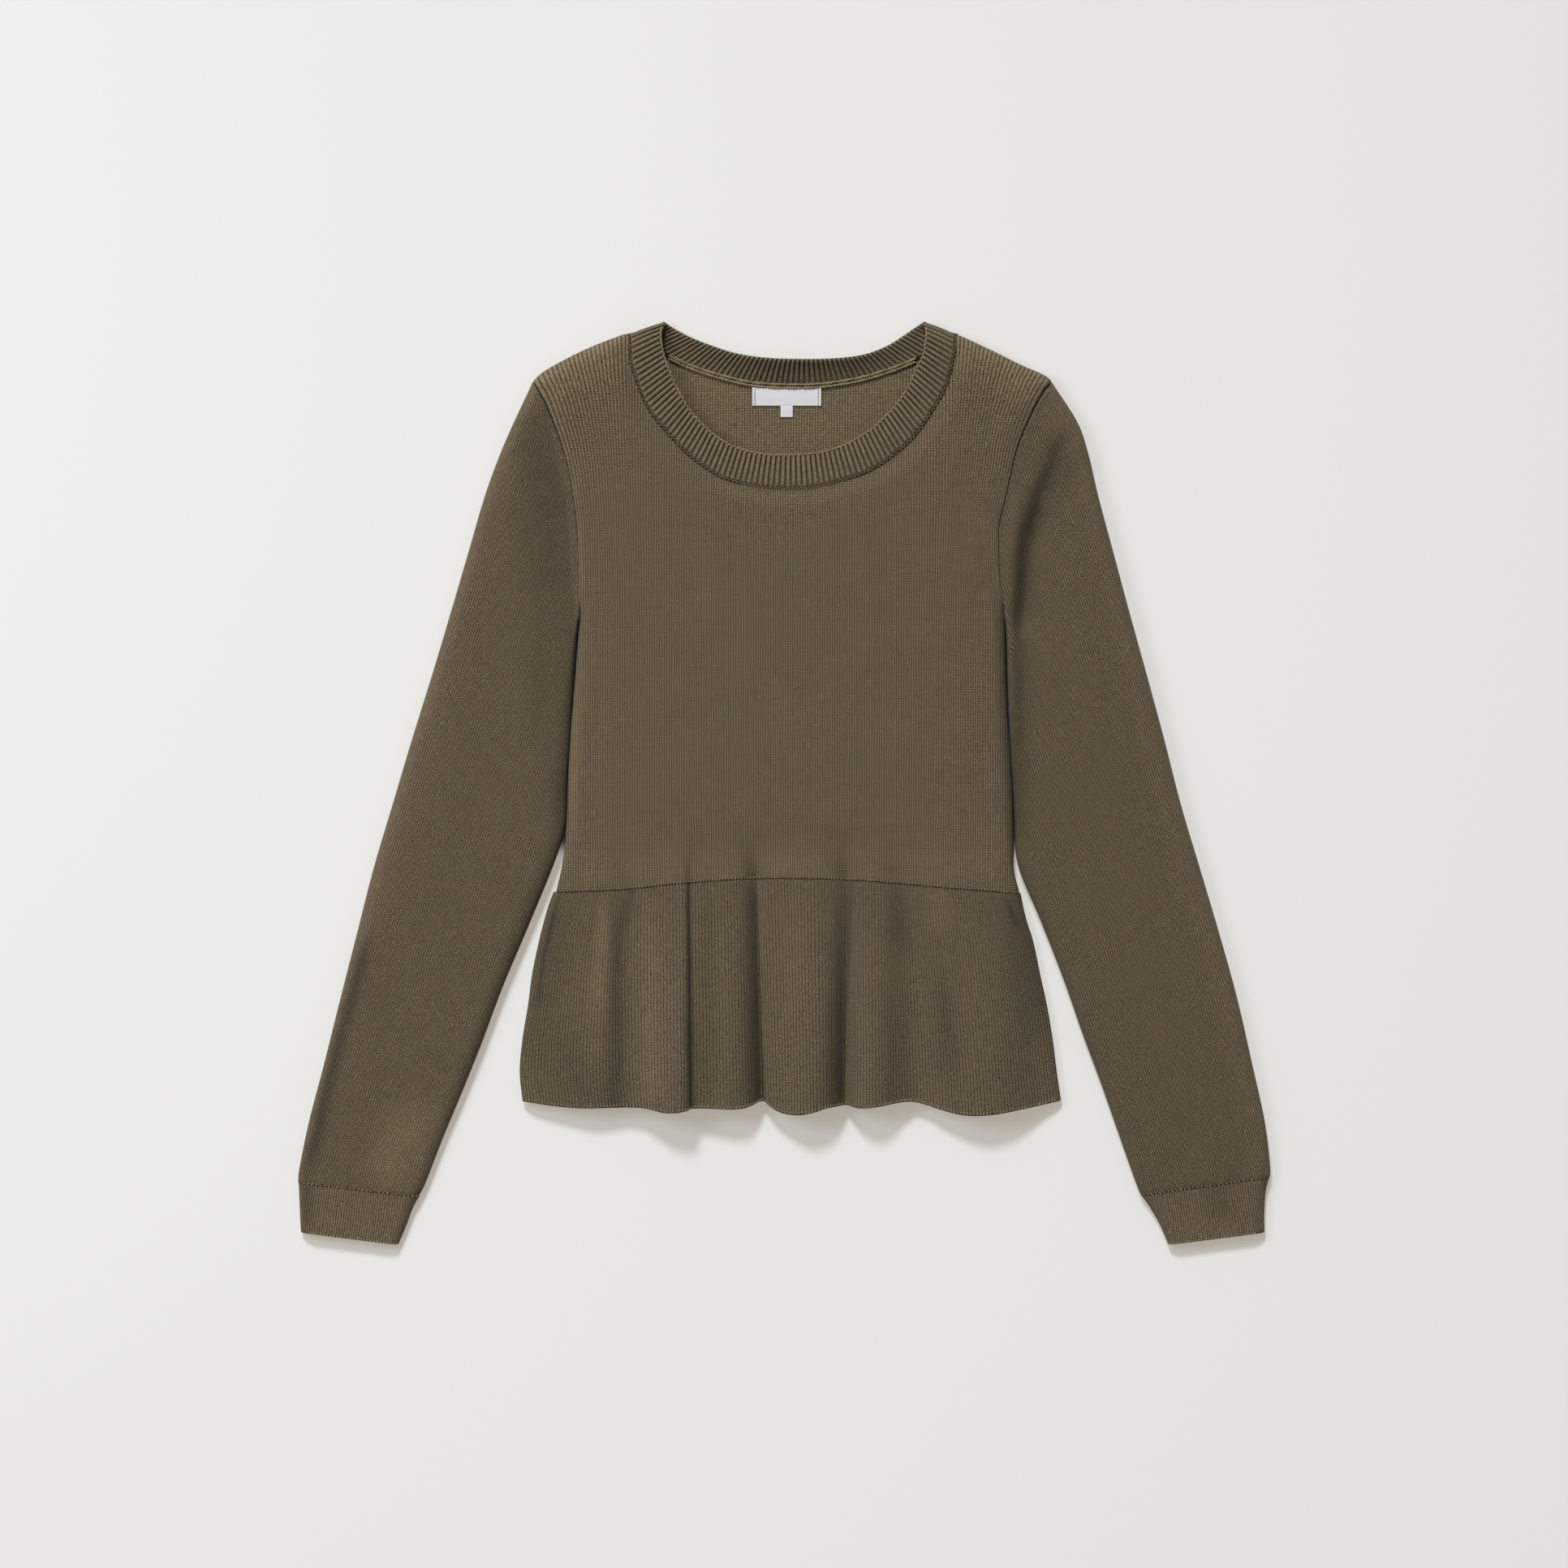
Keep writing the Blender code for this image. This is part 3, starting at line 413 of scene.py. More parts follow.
def end_caps(rows, columns):
    """Rows and column of the faces that close the two side edges of an open shell."""
    strips = [[r, r + 1, 2 * rows + 1 - r, 2 * rows + 2 - r] for r in range(rows - 1)]
    strips.append([rows - 1, rows, rows + 1, rows + 2, rows + 3])
    strips.append([2 * rows + 2, 2 * rows + 3, 2 * rows + 4, 2 * rows + 5, 0])
    return [(strip, 0) for strip in strips] + [(strip[::-1], columns - 1) for strip in strips]


def new_piece(name, points, faces, uv, slots, finishes):
    """A smooth mesh object, its UV given for each corner of each face."""
    mesh = bpy.data.meshes.new(name)
    mesh.from_pydata((points * MM).tolist(), [], faces)
    for layer, columns in (("wales", uv[:, :2]), ("zones", uv[:, 2:])):
        mesh.uv_layers.new(name=layer).data.foreach_set("uv", columns.ravel())
    for cloth in finishes:
        mesh.materials.append(cloth)
    mesh.polygons.foreach_set("material_index", slots)
    mesh.polygons.foreach_set("use_smooth", np.ones(len(faces), bool))
    mesh.validate()
    mesh.update()
    piece = bpy.data.objects.new(name, mesh)
    bpy.context.scene.collection.objects.link(piece)
    return piece


def shell(name, outer, inner, closed, uv, finishes):
    """One closed thin wall with rounded rims, its wale lines in a UV map."""
    rows, columns = outer.shape[:2]
    last = rim_rows(outer[-1], inner[-1], outer[-2])
    first = rim_rows(outer[0], inner[0], outer[1])
    layers = [*outer, *last, *inner[::-1], *first[::-1]]
    points = np.vstack(layers)
    uv = np.array([*uv, uv[-1], uv[-1], uv[-1], *uv[::-1], uv[0], uv[0], uv[0]])
    if uv.shape[-1] == 2:
        uv = np.concatenate([uv, np.zeros_like(uv)], axis=-1)
    steps = columns if closed else columns - 1
    row, column = np.divmod(np.arange(len(layers) * steps), steps)
    above = (row + 1) % len(layers)
    corner_rows = np.stack([row, row, above, above], axis=1)
    corner_columns = np.stack([column, column + 1, column + 1, column], axis=1)
    quads = corner_rows * columns + corner_columns % columns
    a, b, c, d = points[quads].transpose(1, 0, 2)
    turn = -1 if (a * np.cross(b - d, c)).sum() < 0 else 1
    faces = quads[:, ::turn].tolist()
    corners = [uv[corner_rows[:, ::turn], corner_columns[:, ::turn]].reshape(-1, 4)]
    for strip, side in [] if closed else end_caps(rows, columns):
        faces.append([r * columns + side for r in strip[::turn]])
        corners.append(uv[strip[::turn], side])
    slots = np.zeros(len(faces), int)
    slots[: len(row)] = (row > rows) & (row < 2 * rows + 2)
    return new_piece(name, points, faces, np.vstack(corners), slots, finishes)


class Web:
    """Small helper that wires a material's nodes."""

    def __init__(self, name):
        self.material = bpy.data.materials.new(name)
        self.material.use_nodes = True
        self.tree = self.material.node_tree
        self.shader = self.tree.nodes["Principled BSDF"]

    def join(self, source, socket):
        if isinstance(source, bpy.types.NodeSocket):
            self.tree.links.new(source, socket)
        else:
            socket.default_value = source

    def node(self, kind, sources=None, **options):
        """A new node with its options set and its inputs joined."""
        made = self.tree.nodes.new("ShaderNode" + kind)
        for key, value in options.items():
            setattr(made, key, value)
        for place, source in (sources or {}).items():
            self.join(source, made.inputs[place])
        return made

    def math(self, operation, *values):
        return self.node("Math", dict(enumerate(values)), operation=operation).outputs[0]

    def times(self, one, other):
        return self.math("MULTIPLY", one, other)

    def slope(self, value, factor, start):
        """A straight line: the value times a factor, plus a start."""
        return self.math("MULTIPLY_ADD", value, factor, start)

    def rise(self, value, start, end):
        """A soft step from 0 at the start to 1 at the end."""
        sources = {"Value": value, "From Min": start, "From Max": end}
        return self.node("MapRange", sources, interpolation_type="SMOOTHSTEP").outputs["Result"]

    def tent(self, value):
        """1 at the ends of each whole step and 0 in its middle."""
        return self.math("ABSOLUTE", self.slope(self.math("FRACT", value), 2.0, -1.0))

    def carve(self, *cuts):
        """A full height of 1 less each part times its depth, and never below 0."""
        height = 1.0
        for part, depth in cuts:
            height = self.slope(part, -depth, height)
        return self.math("MAXIMUM", height, 0.0)

    def noise(self, scale, detail):
        place = self.node("TexCoord").outputs["Object"]
        sources = {"Vector": place, "Scale": scale, "Detail": detail}
        return self.node("TexNoise", sources).outputs["Fac"]

    def mix(self, share, one, other):
        return self.node("Mix", {0: share, 6: one, 7: other}, data_type="RGBA").outputs[2]

    def blend(self, share, one, other):
        return self.node("Mix", {0: share, 2: one, 3: other}, data_type="FLOAT").outputs[0]

    def parts(self, place):
        return self.node("SeparateXYZ", {0: place}).outputs

    def zone(self, index):
        """Share of clean knit (0) or of painted shade (1), which a wall holds beside its wale
        lines.
        """
        return self.parts(self.node("UVMap", uv_map="zones").outputs[0])[index]

    def wale_lines(self, wale, course, sway=0.0):
        """Place on the cloth in counts of wales and courses."""
        place = self.parts(self.node("UVMap", uv_map="wales").outputs[0])
        u = self.math("DIVIDE", place[0], wale)
        v = self.math("DIVIDE", place[1], course)
        if sway:
            u = self.slope(self.noise(45.0, 2.0), sway, u)
            u = self.slope(self.noise(700.0, 0.0), sway * 0.7, u)
            v = self.slope(self.noise(600.0, 0.0), sway, v)
        return u, v

    def look(self, colour, tone, values):
        """Give the shader a colour times a tone, and its other values."""
        scaled = self.node("VectorMath", {0: colour, 3: tone}, operation="SCALE")
        self.join(scaled.outputs[0], self.shader.inputs["Base Color"])
        for name, value in values.items():
            self.shader.inputs[name].default_value = value

    def bumped(self, height, relief):
        bump = self.node("Bump", {"Height": height, "Distance": relief, "Strength": 1.0})
        self.join(bump.outputs[0], self.shader.inputs["Normal"])


def stitch_parts(web, u, v, slant):
    """How far a point is towards the gaps between wales and between stitches."""
    side = web.tent(u)
    climb = web.slope(side, slant, v)
    cell = web.node("CombineXYZ", {0: web.math("FLOOR", u), 1: web.math("FLOOR", climb)})
    chance = web.node("TexWhiteNoise", {"Vector": cell.outputs[0]}, noise_dimensions="2D")
    return side, web.tent(climb), chance.outputs["Value"]


def plain_stitches(web, u, v):
    """Knit stitches: V shapes in columns with a pit beside each, clean lines at edges."""
    side, row, chance = stitch_parts(web, u, v, 0.5)
    gap, line = web.rise(side, 0.30, 1.0), web.rise(side, 0.50, 0.95)
    seam = web.rise(row, 0.20, 0.95)
    pit = web.times(web.times(gap, seam), web.slope(chance, 1.2, 0.75))
    height = web.carve((gap, 0.08), (pit, 1.25), (seam, 0.40))
    clean = web.carve((line, 0.72), (seam, 0.16))
    return web.blend(web.zone(0), height, clean), chance


def ribbed_stitches(web, u, v):
    """Ribs with grooves that are narrow and dark with painted shade at the free edge, and soft at
    the seam.
    """
    side, row, chance = stitch_parts(web, u, v, 0.5)
    near = web.rise(v, 4.0, 16.0)
    deep = web.times(web.rise(side, 0.68, 0.92), web.slope(near, 0.50, 0.22))
    soft = web.times(web.rise(side, 0.22, 0.70), web.slope(near, -0.16, 0.36))
    return web.carve((deep, 1.0), (soft, 1.0), (web.rise(row, 0.15, 0.95), 0.34)), chance


def loose_stitches(web, u, v):
    """Loose knit stitches: steep V shapes in clear columns."""
    side, row, chance = stitch_parts(web, u, v, 1.0)
    gap, core = web.rise(side, 0.62, 1.0), web.rise(side, 0.22, 0.0)
    seam = web.rise(row, 0.20, 0.95)
    pit = web.times(web.slope(core, 0.5, gap), seam)
    pit = web.times(pit, web.slope(chance, 1.4, 0.7))
    return web.carve((gap, 0.46), (pit, 0.95), (seam, 0.45)), chance


def turned_stitches(web, u, v):
    """Purl stitches: short bars side by side, deepest between the columns."""
    side, row, chance = stitch_parts(web, u, v, -0.35)
    gap, seam = web.rise(side, 0.40, 1.0), web.rise(row, 0.20, 1.0)
    return web.carve((gap, 0.20), (web.times(gap, seam), 1.0), (seam, 0.35)), chance


def tinted(colour, *shares):
    """A colour with its channels taken times their shares."""
    return tuple(float(channel) for channel in np.multiply(colour, shares))


def knit(name, colour, wale, course, relief, stitches, low=0.04, high=1.72, sway=0.5):
    """Heathered wool with its stitches in relief, painted shade between them, and painted shade of
    its folds.
    """
    web = Web(name)
    height, chance = stitches(web, *web.wale_lines(wale, course, sway))
    fuzz, fleck, drift = web.noise(1750.0, 0.0), web.noise(1300.0, 1.0), web.noise(28.0, 2.0)
    # Painted shade: the colour follows the stitches' height, dark in the gaps between them and
    # light on the loops.
    tone = web.slope(height, high - low, low)
    uneven = [(chance, 0.24, 0.88), (drift, 0.08, 0.96), (fuzz, 1.5, 0.25)]
    # Random unevenness of the yarn, then the zones map's painted shade of folds (painted light
    # below 0).
    for part, depth, start in [*uneven, (web.zone(1), -1.0, 1.0)]:
        tone = web.times(tone, web.slope(part, depth, start))
    warm, cool = tinted(colour, 1.09, 1.0, 0.94), tinted(colour, 0.91, 1.0, 1.02)
    yarn = web.mix(web.rise(fleck, 0.33, 0.67), (*cool, 1.0), (*warm, 1.0))
    matte = {"Roughness": 0.92, "Specular IOR Level": 0.15}
    web.look(yarn, tone, {**matte, "Sheen Weight": 0.06, "Sheen Roughness": 0.55})
    web.bumped(web.slope(fuzz, 0.25, height), relief)
    return web.material


def satin(name, colour):
    """Fine woven label cloth."""
    web = Web(name)
    lines = web.wale_lines(0.35, 0.25)
    warp, weft = (web.math("SINE", web.times(line, 2 * np.pi)) for line in lines)
    tone = web.slope(web.noise(400.0, 1.0), 0.04, 0.98)
    web.look(colour, tone, {"Roughness": 0.45, "Sheen Weight": 0.1})
    web.bumped(web.slope(warp, 0.4, weft), 0.00001)
    return web.material


def paper(name, colour, glow):
    """Matte surface with painted light: it glows a little, but not under the body, like a lit
    backdrop.
    """
    web = Web(name)
    tone = web.slope(web.noise(300.0, 2.0), 0.01, 0.995)
    matte = {"Roughness": 0.95, "Specular IOR Level": 0.0}
    web.look(colour, tone, {**matte, "Emission Color": (*glow, 1.0)})
    place = web.parts(web.node("TexCoord").outputs["Object"])
    # Painted light: the glow shows only away from the body.
    clear = web.rise(web.math("ABSOLUTE", place[0]), 0.170, 0.178)
    for start, end in ((0.262, 0.272), (-0.040, -0.055)):
        clear = web.math("MAXIMUM", clear, web.rise(place[1], start, end))
    web.join(clear, web.shader.inputs["Emission Strength"])
    return web.material


class SweaterSettings(bpy.types.PropertyGroup):
    """Sizes and colours that a user would change."""

    wall: FloatProperty(
        name="Wall", description="Thickness of the knitted cloth",
        default=0.0016, min=0.001, max=0.003, unit="LENGTH",
    )
    wale: FloatProperty(
        name="Wale", description="Width of one column of stitches on the body",
        default=0.00179, unit="LENGTH",
    )
    course: FloatProperty(
        name="Course", description="Height of one row of stitches on the body",
        default=0.00124, unit="LENGTH",
    )
    peplum_wale: FloatProperty(
        name="Peplum wale", description="Width of one column of stitches on the peplum",
        default=0.0024, unit="LENGTH",
    )
    rib_height: FloatProperty(
        name="Rib height", description="How far the neckband's ribs stand up",
        default=0.001, unit="LENGTH",
    )
    yarn: FloatVectorProperty(
        name="Yarn", description="Colour of the yarn",
        default=(0.117, 0.0905, 0.0554), subtype="COLOR",
    )
    label: FloatVectorProperty(
        name="Label", description="Colour of the neck label and size tab",
        default=(0.66, 0.66, 0.69), subtype="COLOR",
    )
    floor: FloatVectorProperty(
        name="Surface", description="Colour of the surface below the garment",
        default=(0.45, 0.492, 0.522), subtype="COLOR",
    )
    glow: FloatVectorProperty(
        name="Surface glow", description="Warm light that the overexposed surface gives off",
        default=(0.36, 0.315, 0.265), subtype="COLOR",
    )
    key_light: FloatProperty(
        name="Key light", description="Strength of the light from the neck's side",
        default=2.6,
    )
    fill_light: FloatProperty(
        name="Fill light", description="Strength of the light from all round",
        default=0.23,
    )
    side_light: FloatProperty(
        name="Side light", description="Power of the broad lamp at the left",
        default=13.0,
    )


def settings():
    return bpy.context.scene.sweater


def finish(kind):
    """The named cloth finish, made once and then shared."""
    found = bpy.data.materials.get(kind)
    if found:
        return found
    own = settings()
    wale, course = own.wale / MM, own.course / MM
    knits = {
        "body_knit": (1.0, wale, course, 0.00035, plain_stitches),
        "inside_knit": (1.0, wale * 1.1, course, 0.0003, turned_stitches),
        "sleeve_knit": (0.91, wale, course, 0.00035, plain_stitches),
        "peplum_knit": (0.78, own.peplum_wale / MM, 1.6, 0.0005, loose_stitches, 0.0, 2.2),
        "rib_knit": (1.0, 1.0, 1.3, 0.0003, ribbed_stitches, 0.05, 1.62, 0.06),
        "seam_yarn": (1.0, 0.6, 0.6, 0.0001, plain_stitches, 0.85, 1.5),
        # The edge yarn is the yarn made lighter: a painted highlight on its loops.
        "edge_yarn_highlight": (1.0, 0.6, 0.6, 0.0001, plain_stitches, 1.5, 2.7),
        # A dark copy of the yarn: painted shade on the seams' allowance strips.
        "shaded_seam_yarn": (0.22, 0.9, 0.9, 0.0001, plain_stitches, 0.7, 1.3),
    }
    if kind in knits:
        share, *weave = knits[kind]
        return knit(kind, tinted(own.yarn, share), *weave)
    return satin(kind, tinted(own.label, {"label_satin": 1.0, "label_thread": 0.22}[kind]))


def dress(piece, nodes):
    """Let a finished piece ride on the garment and stand for its solids."""
    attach(piece, "root")
    if nodes:
        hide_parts(*nodes)
    return piece


def sew(name, nodes, grids, closed, uv, finishes, flat, rests_on):
    """A dressed sheet of knit between an outer and an inner grid. Its flat cut is not used."""
    outer, inner = grids
    piece = shell(name, outer, inner, closed, uv, [finish(kind) for kind in finishes])
    dress(piece, nodes)


def sew_panel(name, node, outer, facing, uv, outside, flat, rests_on):
    """An open panel with its wall on the side that its normals point away from."""
    grids = outer, outer - facing * (settings().wall / MM)
    sew(name, [node], grids, False, uv, [outside, "inside_knit"], flat, rests_on)


def edge_shares(length, radius, steps, inner):
    """Shares across a width with close steps in the rolled edge at each end."""
    turn = np.linspace(0, np.pi / 2, steps, endpoint=False)
    close = radius / length * (1 - np.cos(turn))
    plain = np.linspace(radius / length, 1 - radius / length, inner)
    return np.r_[close, plain, 1 - close[::-1]]


def body_lines():
    """The long edges of the bodice as fine lines."""
    return {
        "left": curve(LEFT_SIDE, 120),
        "right": curve(RIGHT_SIDE, 120),
        "waist": curve(WAIST, 60),
        "left_shoulder": curve(LEFT_SHOULDER, 30),
        "right_shoulder": curve(RIGHT_SHOULDER, 30),
    }


def edge_gaps(plan, lines):
    """Plan distances to the nearer side and to the nearer shoulder."""
    sides = [distance(plan, lines[name]) for name in ("left", "right")]
    shoulders = [distance(plan, lines[name]) for name in ("left_shoulder", "right_shoulder")]
    return np.minimum(*sides), np.minimum(*shoulders)


def neck_seam(front):
    """Seam line of the neckband on the front or the back, from left to right."""
    rows = NECKBAND[: BAND_TURN + 1] if front else NECKBAND[BAND_TURN:] + NECKBAND[:1]
    line = curve([row[:2] for row in rows], 140)[:: 1 if front else -1]
    ends = np.linalg.norm(line[:, None] - line[None, [0, -1]], axis=2).min(axis=1)
    gap = BAND_GAP + CORNER_GAP * (1 - ease(ends / CORNER_REACH))
    return line + rightward(line) * gap[:, None]


def body_grid(lines, neck, columns, rows):
    """Plan grid of a bodice panel."""
    width = lines["waist"][-1, 0] - lines["waist"][0, 0]
    across = edge_shares(width, FRONT_ROLL, 7, columns)
    for corner in (SHOULDER_SHARE, 1 - SHOULDER_SHARE):
        across[np.abs(across - corner).argmin()] = corner
    close = FRONT_ROLL / BODY_LENGTH * (1 - np.cos(np.linspace(0, np.pi / 2, 7)))
    upward = np.r_[np.linspace(0, 1 - close[-1], rows, endpoint=False), 1 - close[::-1]]
    low, high = across < SHOULDER_SHARE, across > 1 - SHOULDER_SHARE
    middle = (across[~low & ~high] - SHOULDER_SHARE) / (1 - 2 * SHOULDER_SHARE)
    left = along(lines["left_shoulder"], across[low] / SHOULDER_SHARE)
    right = along(lines["right_shoulder"], 1 - (1 - across[high]) / SHOULDER_SHARE)
    top = np.vstack([left, along(neck, middle), right])
    edges = lines["left"], lines["right"], lines["waist"], top
    return patch(*edges, across, upward, SHOULDER_SHARE), across


def above_underarm(plan):
    """Share of an armhole seam rather than a side seam, by height up the body."""
    return ease((plan[..., 1] - UNDERARM_Y) / UNDERARM_BLEND)


def flat_rim(facing, rolled):
    """Turn edge normals outward where the edges are rolled, so that seams meet level."""
    facing[rolled[:, 0], 0] = (-1, 0, 0)
    facing[rolled[:, -1], -1] = (1, 0, 0)
    facing[-1, rolled[-1]] = (0, 1, 0)
    facing[-1, [0, -1]] = (-0.7071, 0.7071, 0), (0.7071, 0.7071, 0)


def upright_uv(grid):
    """UV in millimetres with wales running up the garment."""
    climb = np.diff(grid, axis=0)
    start = grid[:1, :, 1]
    steps = np.cumsum(np.hypot(climb[..., 1], climb[..., 2]), axis=0)
    return np.dstack([grid[..., 0], np.concatenate([start, start + steps], axis=0)])


def fanned_uv(grid, across):
    """UV whose wales run beside the armholes and fan out to the shoulders."""
    flat = upright_uv(grid)
    x, y = grid[..., 0], grid[..., 1]
    chest = [np.interp(UNDERARM_Y, y[:, k], x[:, k]) for k in range(len(across))]
    shift = np.where(y > UNDERARM_Y, np.array(chest) - x, 0.0)
    for inward in (across, 1 - across):
        corner = np.abs(inward - SHOULDER_SHARE).argmin()
        middle = (inward > SHOULDER_SHARE) & (inward <= 0.5)
        fade = 1 - ease((inward[middle] - SHOULDER_SHARE) / 0.15)
        shift[:, middle] = shift[:, [corner]] * fade
    flat[..., 0] += shift
    return flat


def clean_body(plan, lines):
    """Share of clean wales: beside the armholes and fanned out below the shoulders."""
    side, shoulders = edge_gaps(plan, lines)
    above = ease((plan[..., 1] - UNDERARM_Y) / 12)
    beside = (1 - ease((side - 1.5) / 5.0)) * above * 0.4
    return np.maximum(beside, 1 - ease((shoulders - 6.0) / 30.0))


def front_height(plan, lines, neck):
    """Height of the front bodice: domed, rolled at the sides and shoulders."""
    side, shoulders = edge_gaps(plan, lines)
    share, seam = above_underarm(plan), SEAM_LEVEL + SEAM_GAP
    edge = seam + (ARMHOLE_HEIGHT - seam) * share
    radius = FRONT_ROLL + (ARMHOLE_SINK - FRONT_ROLL) * share
    folds = np.array(PEPLUM_FOLDS)
    gathered = np.interp(plan[..., 0], folds[:, 0], np.minimum(folds[:, 1], WAIST_TOP))
    drops = [
        (BODY_HEIGHT - edge) * (1 - roll(side, radius)),
        (BODY_HEIGHT - seam) * (1 - roll(shoulders, FRONT_ROLL)),
        (BODY_HEIGHT - NECK_HEIGHT) * (1 - ease(distance(plan, neck) / NECK_SINK)),
        (BODY_HEIGHT - gathered) * (1 - ease(distance(plan, lines["waist"]) / WAIST_SINK)),
    ]
    inside = ease(np.minimum(side, shoulders) / 14)
    return BODY_HEIGHT - np.max(drops, axis=0) + creased(plan, BODY_CREASES) * inside


def build_front():
    lines, neck = body_lines(), neck_seam(True)
    plan, across = body_grid(lines, neck, 150, 170)
    outer = np.dstack([plan, front_height(plan, lines, neck)])
    facing = normals(outer)
    flat_rim(facing, outer[..., 2] < SEAM_LEVEL + 3)
    zones = [clean_body(plan, lines), shaded(plan, BODY_SHADES)]
    uv = np.dstack([fanned_uv(outer, across), *zones])
    sew_panel("front_knit", "front", outer, facing, uv, "body_knit", BODY_CUT, ["back"])
    SEAMS["waist"] = outer[0]


def build_back():
    lines = body_lines()
    plan, across = body_grid(lines, neck_seam(False), 90, 90)
    side, shoulders = edge_gaps(plan, lines)
    lift = SEAM_LEVEL * (1 - above_underarm(plan)) * (1 - roll(side, BACK_ROLL))
    lift = np.maximum(lift, SEAM_LEVEL * (1 - roll(shoulders, BACK_ROLL)))
    outer = np.dstack([plan, lift])
    facing = -normals(outer)
    facing[lift < 0.02] = (0, 0, -1)
    flat_rim(facing, lift > SEAM_LEVEL - 1.5)
    uv = fanned_uv(outer, across)
    sew_panel("back_knit", "back", outer, facing, uv, "body_knit", BODY_CUT, ["floor"])


def quarter(reach, inset, level, end, degrees):
    """Points of a rounded edge, from its widest level to its top or its underside."""
    turn = np.radians(degrees)
    across = inset + (reach - inset) * (1 - np.cos(turn))
    return np.column_stack([across, level + (end - level) * np.sin(turn)])


def tube_section(width, height, inner_roll, wall):
    """Outer and inner points of a flattened tube, from its outer edge over the top."""
    level, top = 0.4 * height, min(FRONT_ROLL, 0.2 * width)
    low, turns = 0.6 * top, np.linspace(0, 90, 9)
    middle = np.linspace(top, width - inner_roll, 44)[1:-1]
    floor = np.linspace(width - low, low, 24)[1:-1]
    outline = []
    for inset in (0.0, wall):
        roof = height - inset
        rise = quarter(top, inset, level, roof, turns)
        fall = quarter(inner_roll, inset, level, roof, turns[::-1])
        under = quarter(low, inset, level, inset, turns[1:])
        far = [np.column_stack([width - part[:, 0], part[:, 1]]) for part in (fall, under)]
        flat, base = levelled(middle, roof), levelled(floor, inset)
        outline.append(np.vstack([rise, flat, *far, base, under[::-1]]))
    return outline


def tube_grids(stations, count, armhole, creases):
    """Outer and inner grids of a sleeve or a cuff."""
    grids, wall = ([], []), settings().wall / MM
    for row in curve(stations, count):
        start, end = row[:2], row[2:4]
        height, bow, inner_roll = row[4:]
        width = np.linalg.norm(end - start)
        for section, grid in zip(tube_section(width, height, inner_roll, wall), grids):
            share, level = section[:, :1] / width, section[:, 1]
            plan = start + share * (end - start)
            if armhole is not None and bow > 0:
                chord = armhole[0] + share * (armhole[-1] - armhole[0])
                plan = plan + bow * (along(armhole, share[:, 0]) - chord)
            upper = ease((level / height - 0.5) / 0.35)
            grid.append(np.column_stack([plan, level + creased(plan, creases) * upper]))
    return [np.array(grid) for grid in grids]


def tube_uv(outer, lean):
    """UV in millimetres with wales running along a sleeve that leans from upright."""
    turn, grid = np.radians(lean), wrapped(outer)
    across = grid[..., 0] * np.cos(turn) + grid[..., 1] * np.sin(turn)
    length = grid[..., 1] * np.cos(turn) - grid[..., 0] * np.sin(turn)
    walk = np.hypot(np.diff(across, axis=1), np.diff(grid[..., 2], axis=1))
    around = np.concatenate([np.zeros((len(outer), 1)), np.cumsum(walk, axis=1)], axis=1)
    sign = np.sign(across[:, TUBE_MIDDLE + 4] - across[:, TUBE_MIDDLE - 4]).mean()
    around = (around - around[:, [TUBE_MIDDLE]]) * sign + across[:, [TUBE_MIDDLE]]
    return np.dstack([around, length])


def armhole_of(side):
    """The armhole seam from the shoulder tip down to the underarm."""
    line = curve(side, 300)
    return line[line[:, 1] >= UNDERARM_Y][::-1]


def build_tube(name, nodes, stations, count, armhole, lean, creases, shades, flat):
    """A sleeve with its bowed armhole end, or a cuff, which has no armhole."""
    grids = tube_grids(stations, count, armhole, creases)
    outer = grids[0]
    reach = np.linalg.norm(outer[:, :, :2] - outer[:, :1, :2], axis=2)
    clean = np.full(reach.shape, 0.75)
    if armhole is not None:
        clean = 0.6 * (1 - ease((reach - 4.0) / 22.0))
    zones = [wrapped(clean), wrapped(shaded(outer[..., :2], shades))]
    uv = np.dstack([tube_uv(outer, lean), *zones])
    finishes = ["sleeve_knit", "inside_knit"]
    sew(name + "_knit", nodes, grids, True, uv, finishes, flat, ["floor"])
    SEAMS[name + "_start"] = outer[0]
    SEAMS[name + "_ticks"] = outer[0] * 0.45 + outer[1] * 0.55
    SEAMS[name + "_end"] = outer[-1]


def band_edge(points):
    """One edge of the neckband with its ribs evenly spaced on the front and on the back."""
    front = curve(points[: BAND_TURN + 1], FRONT_RIBS * RIB_STEPS + 1)
    back = curve([*points[BAND_TURN:], points[0]], BACK_RIBS * RIB_STEPS + 1)
    return np.vstack([front[:-1], back[:-1]])


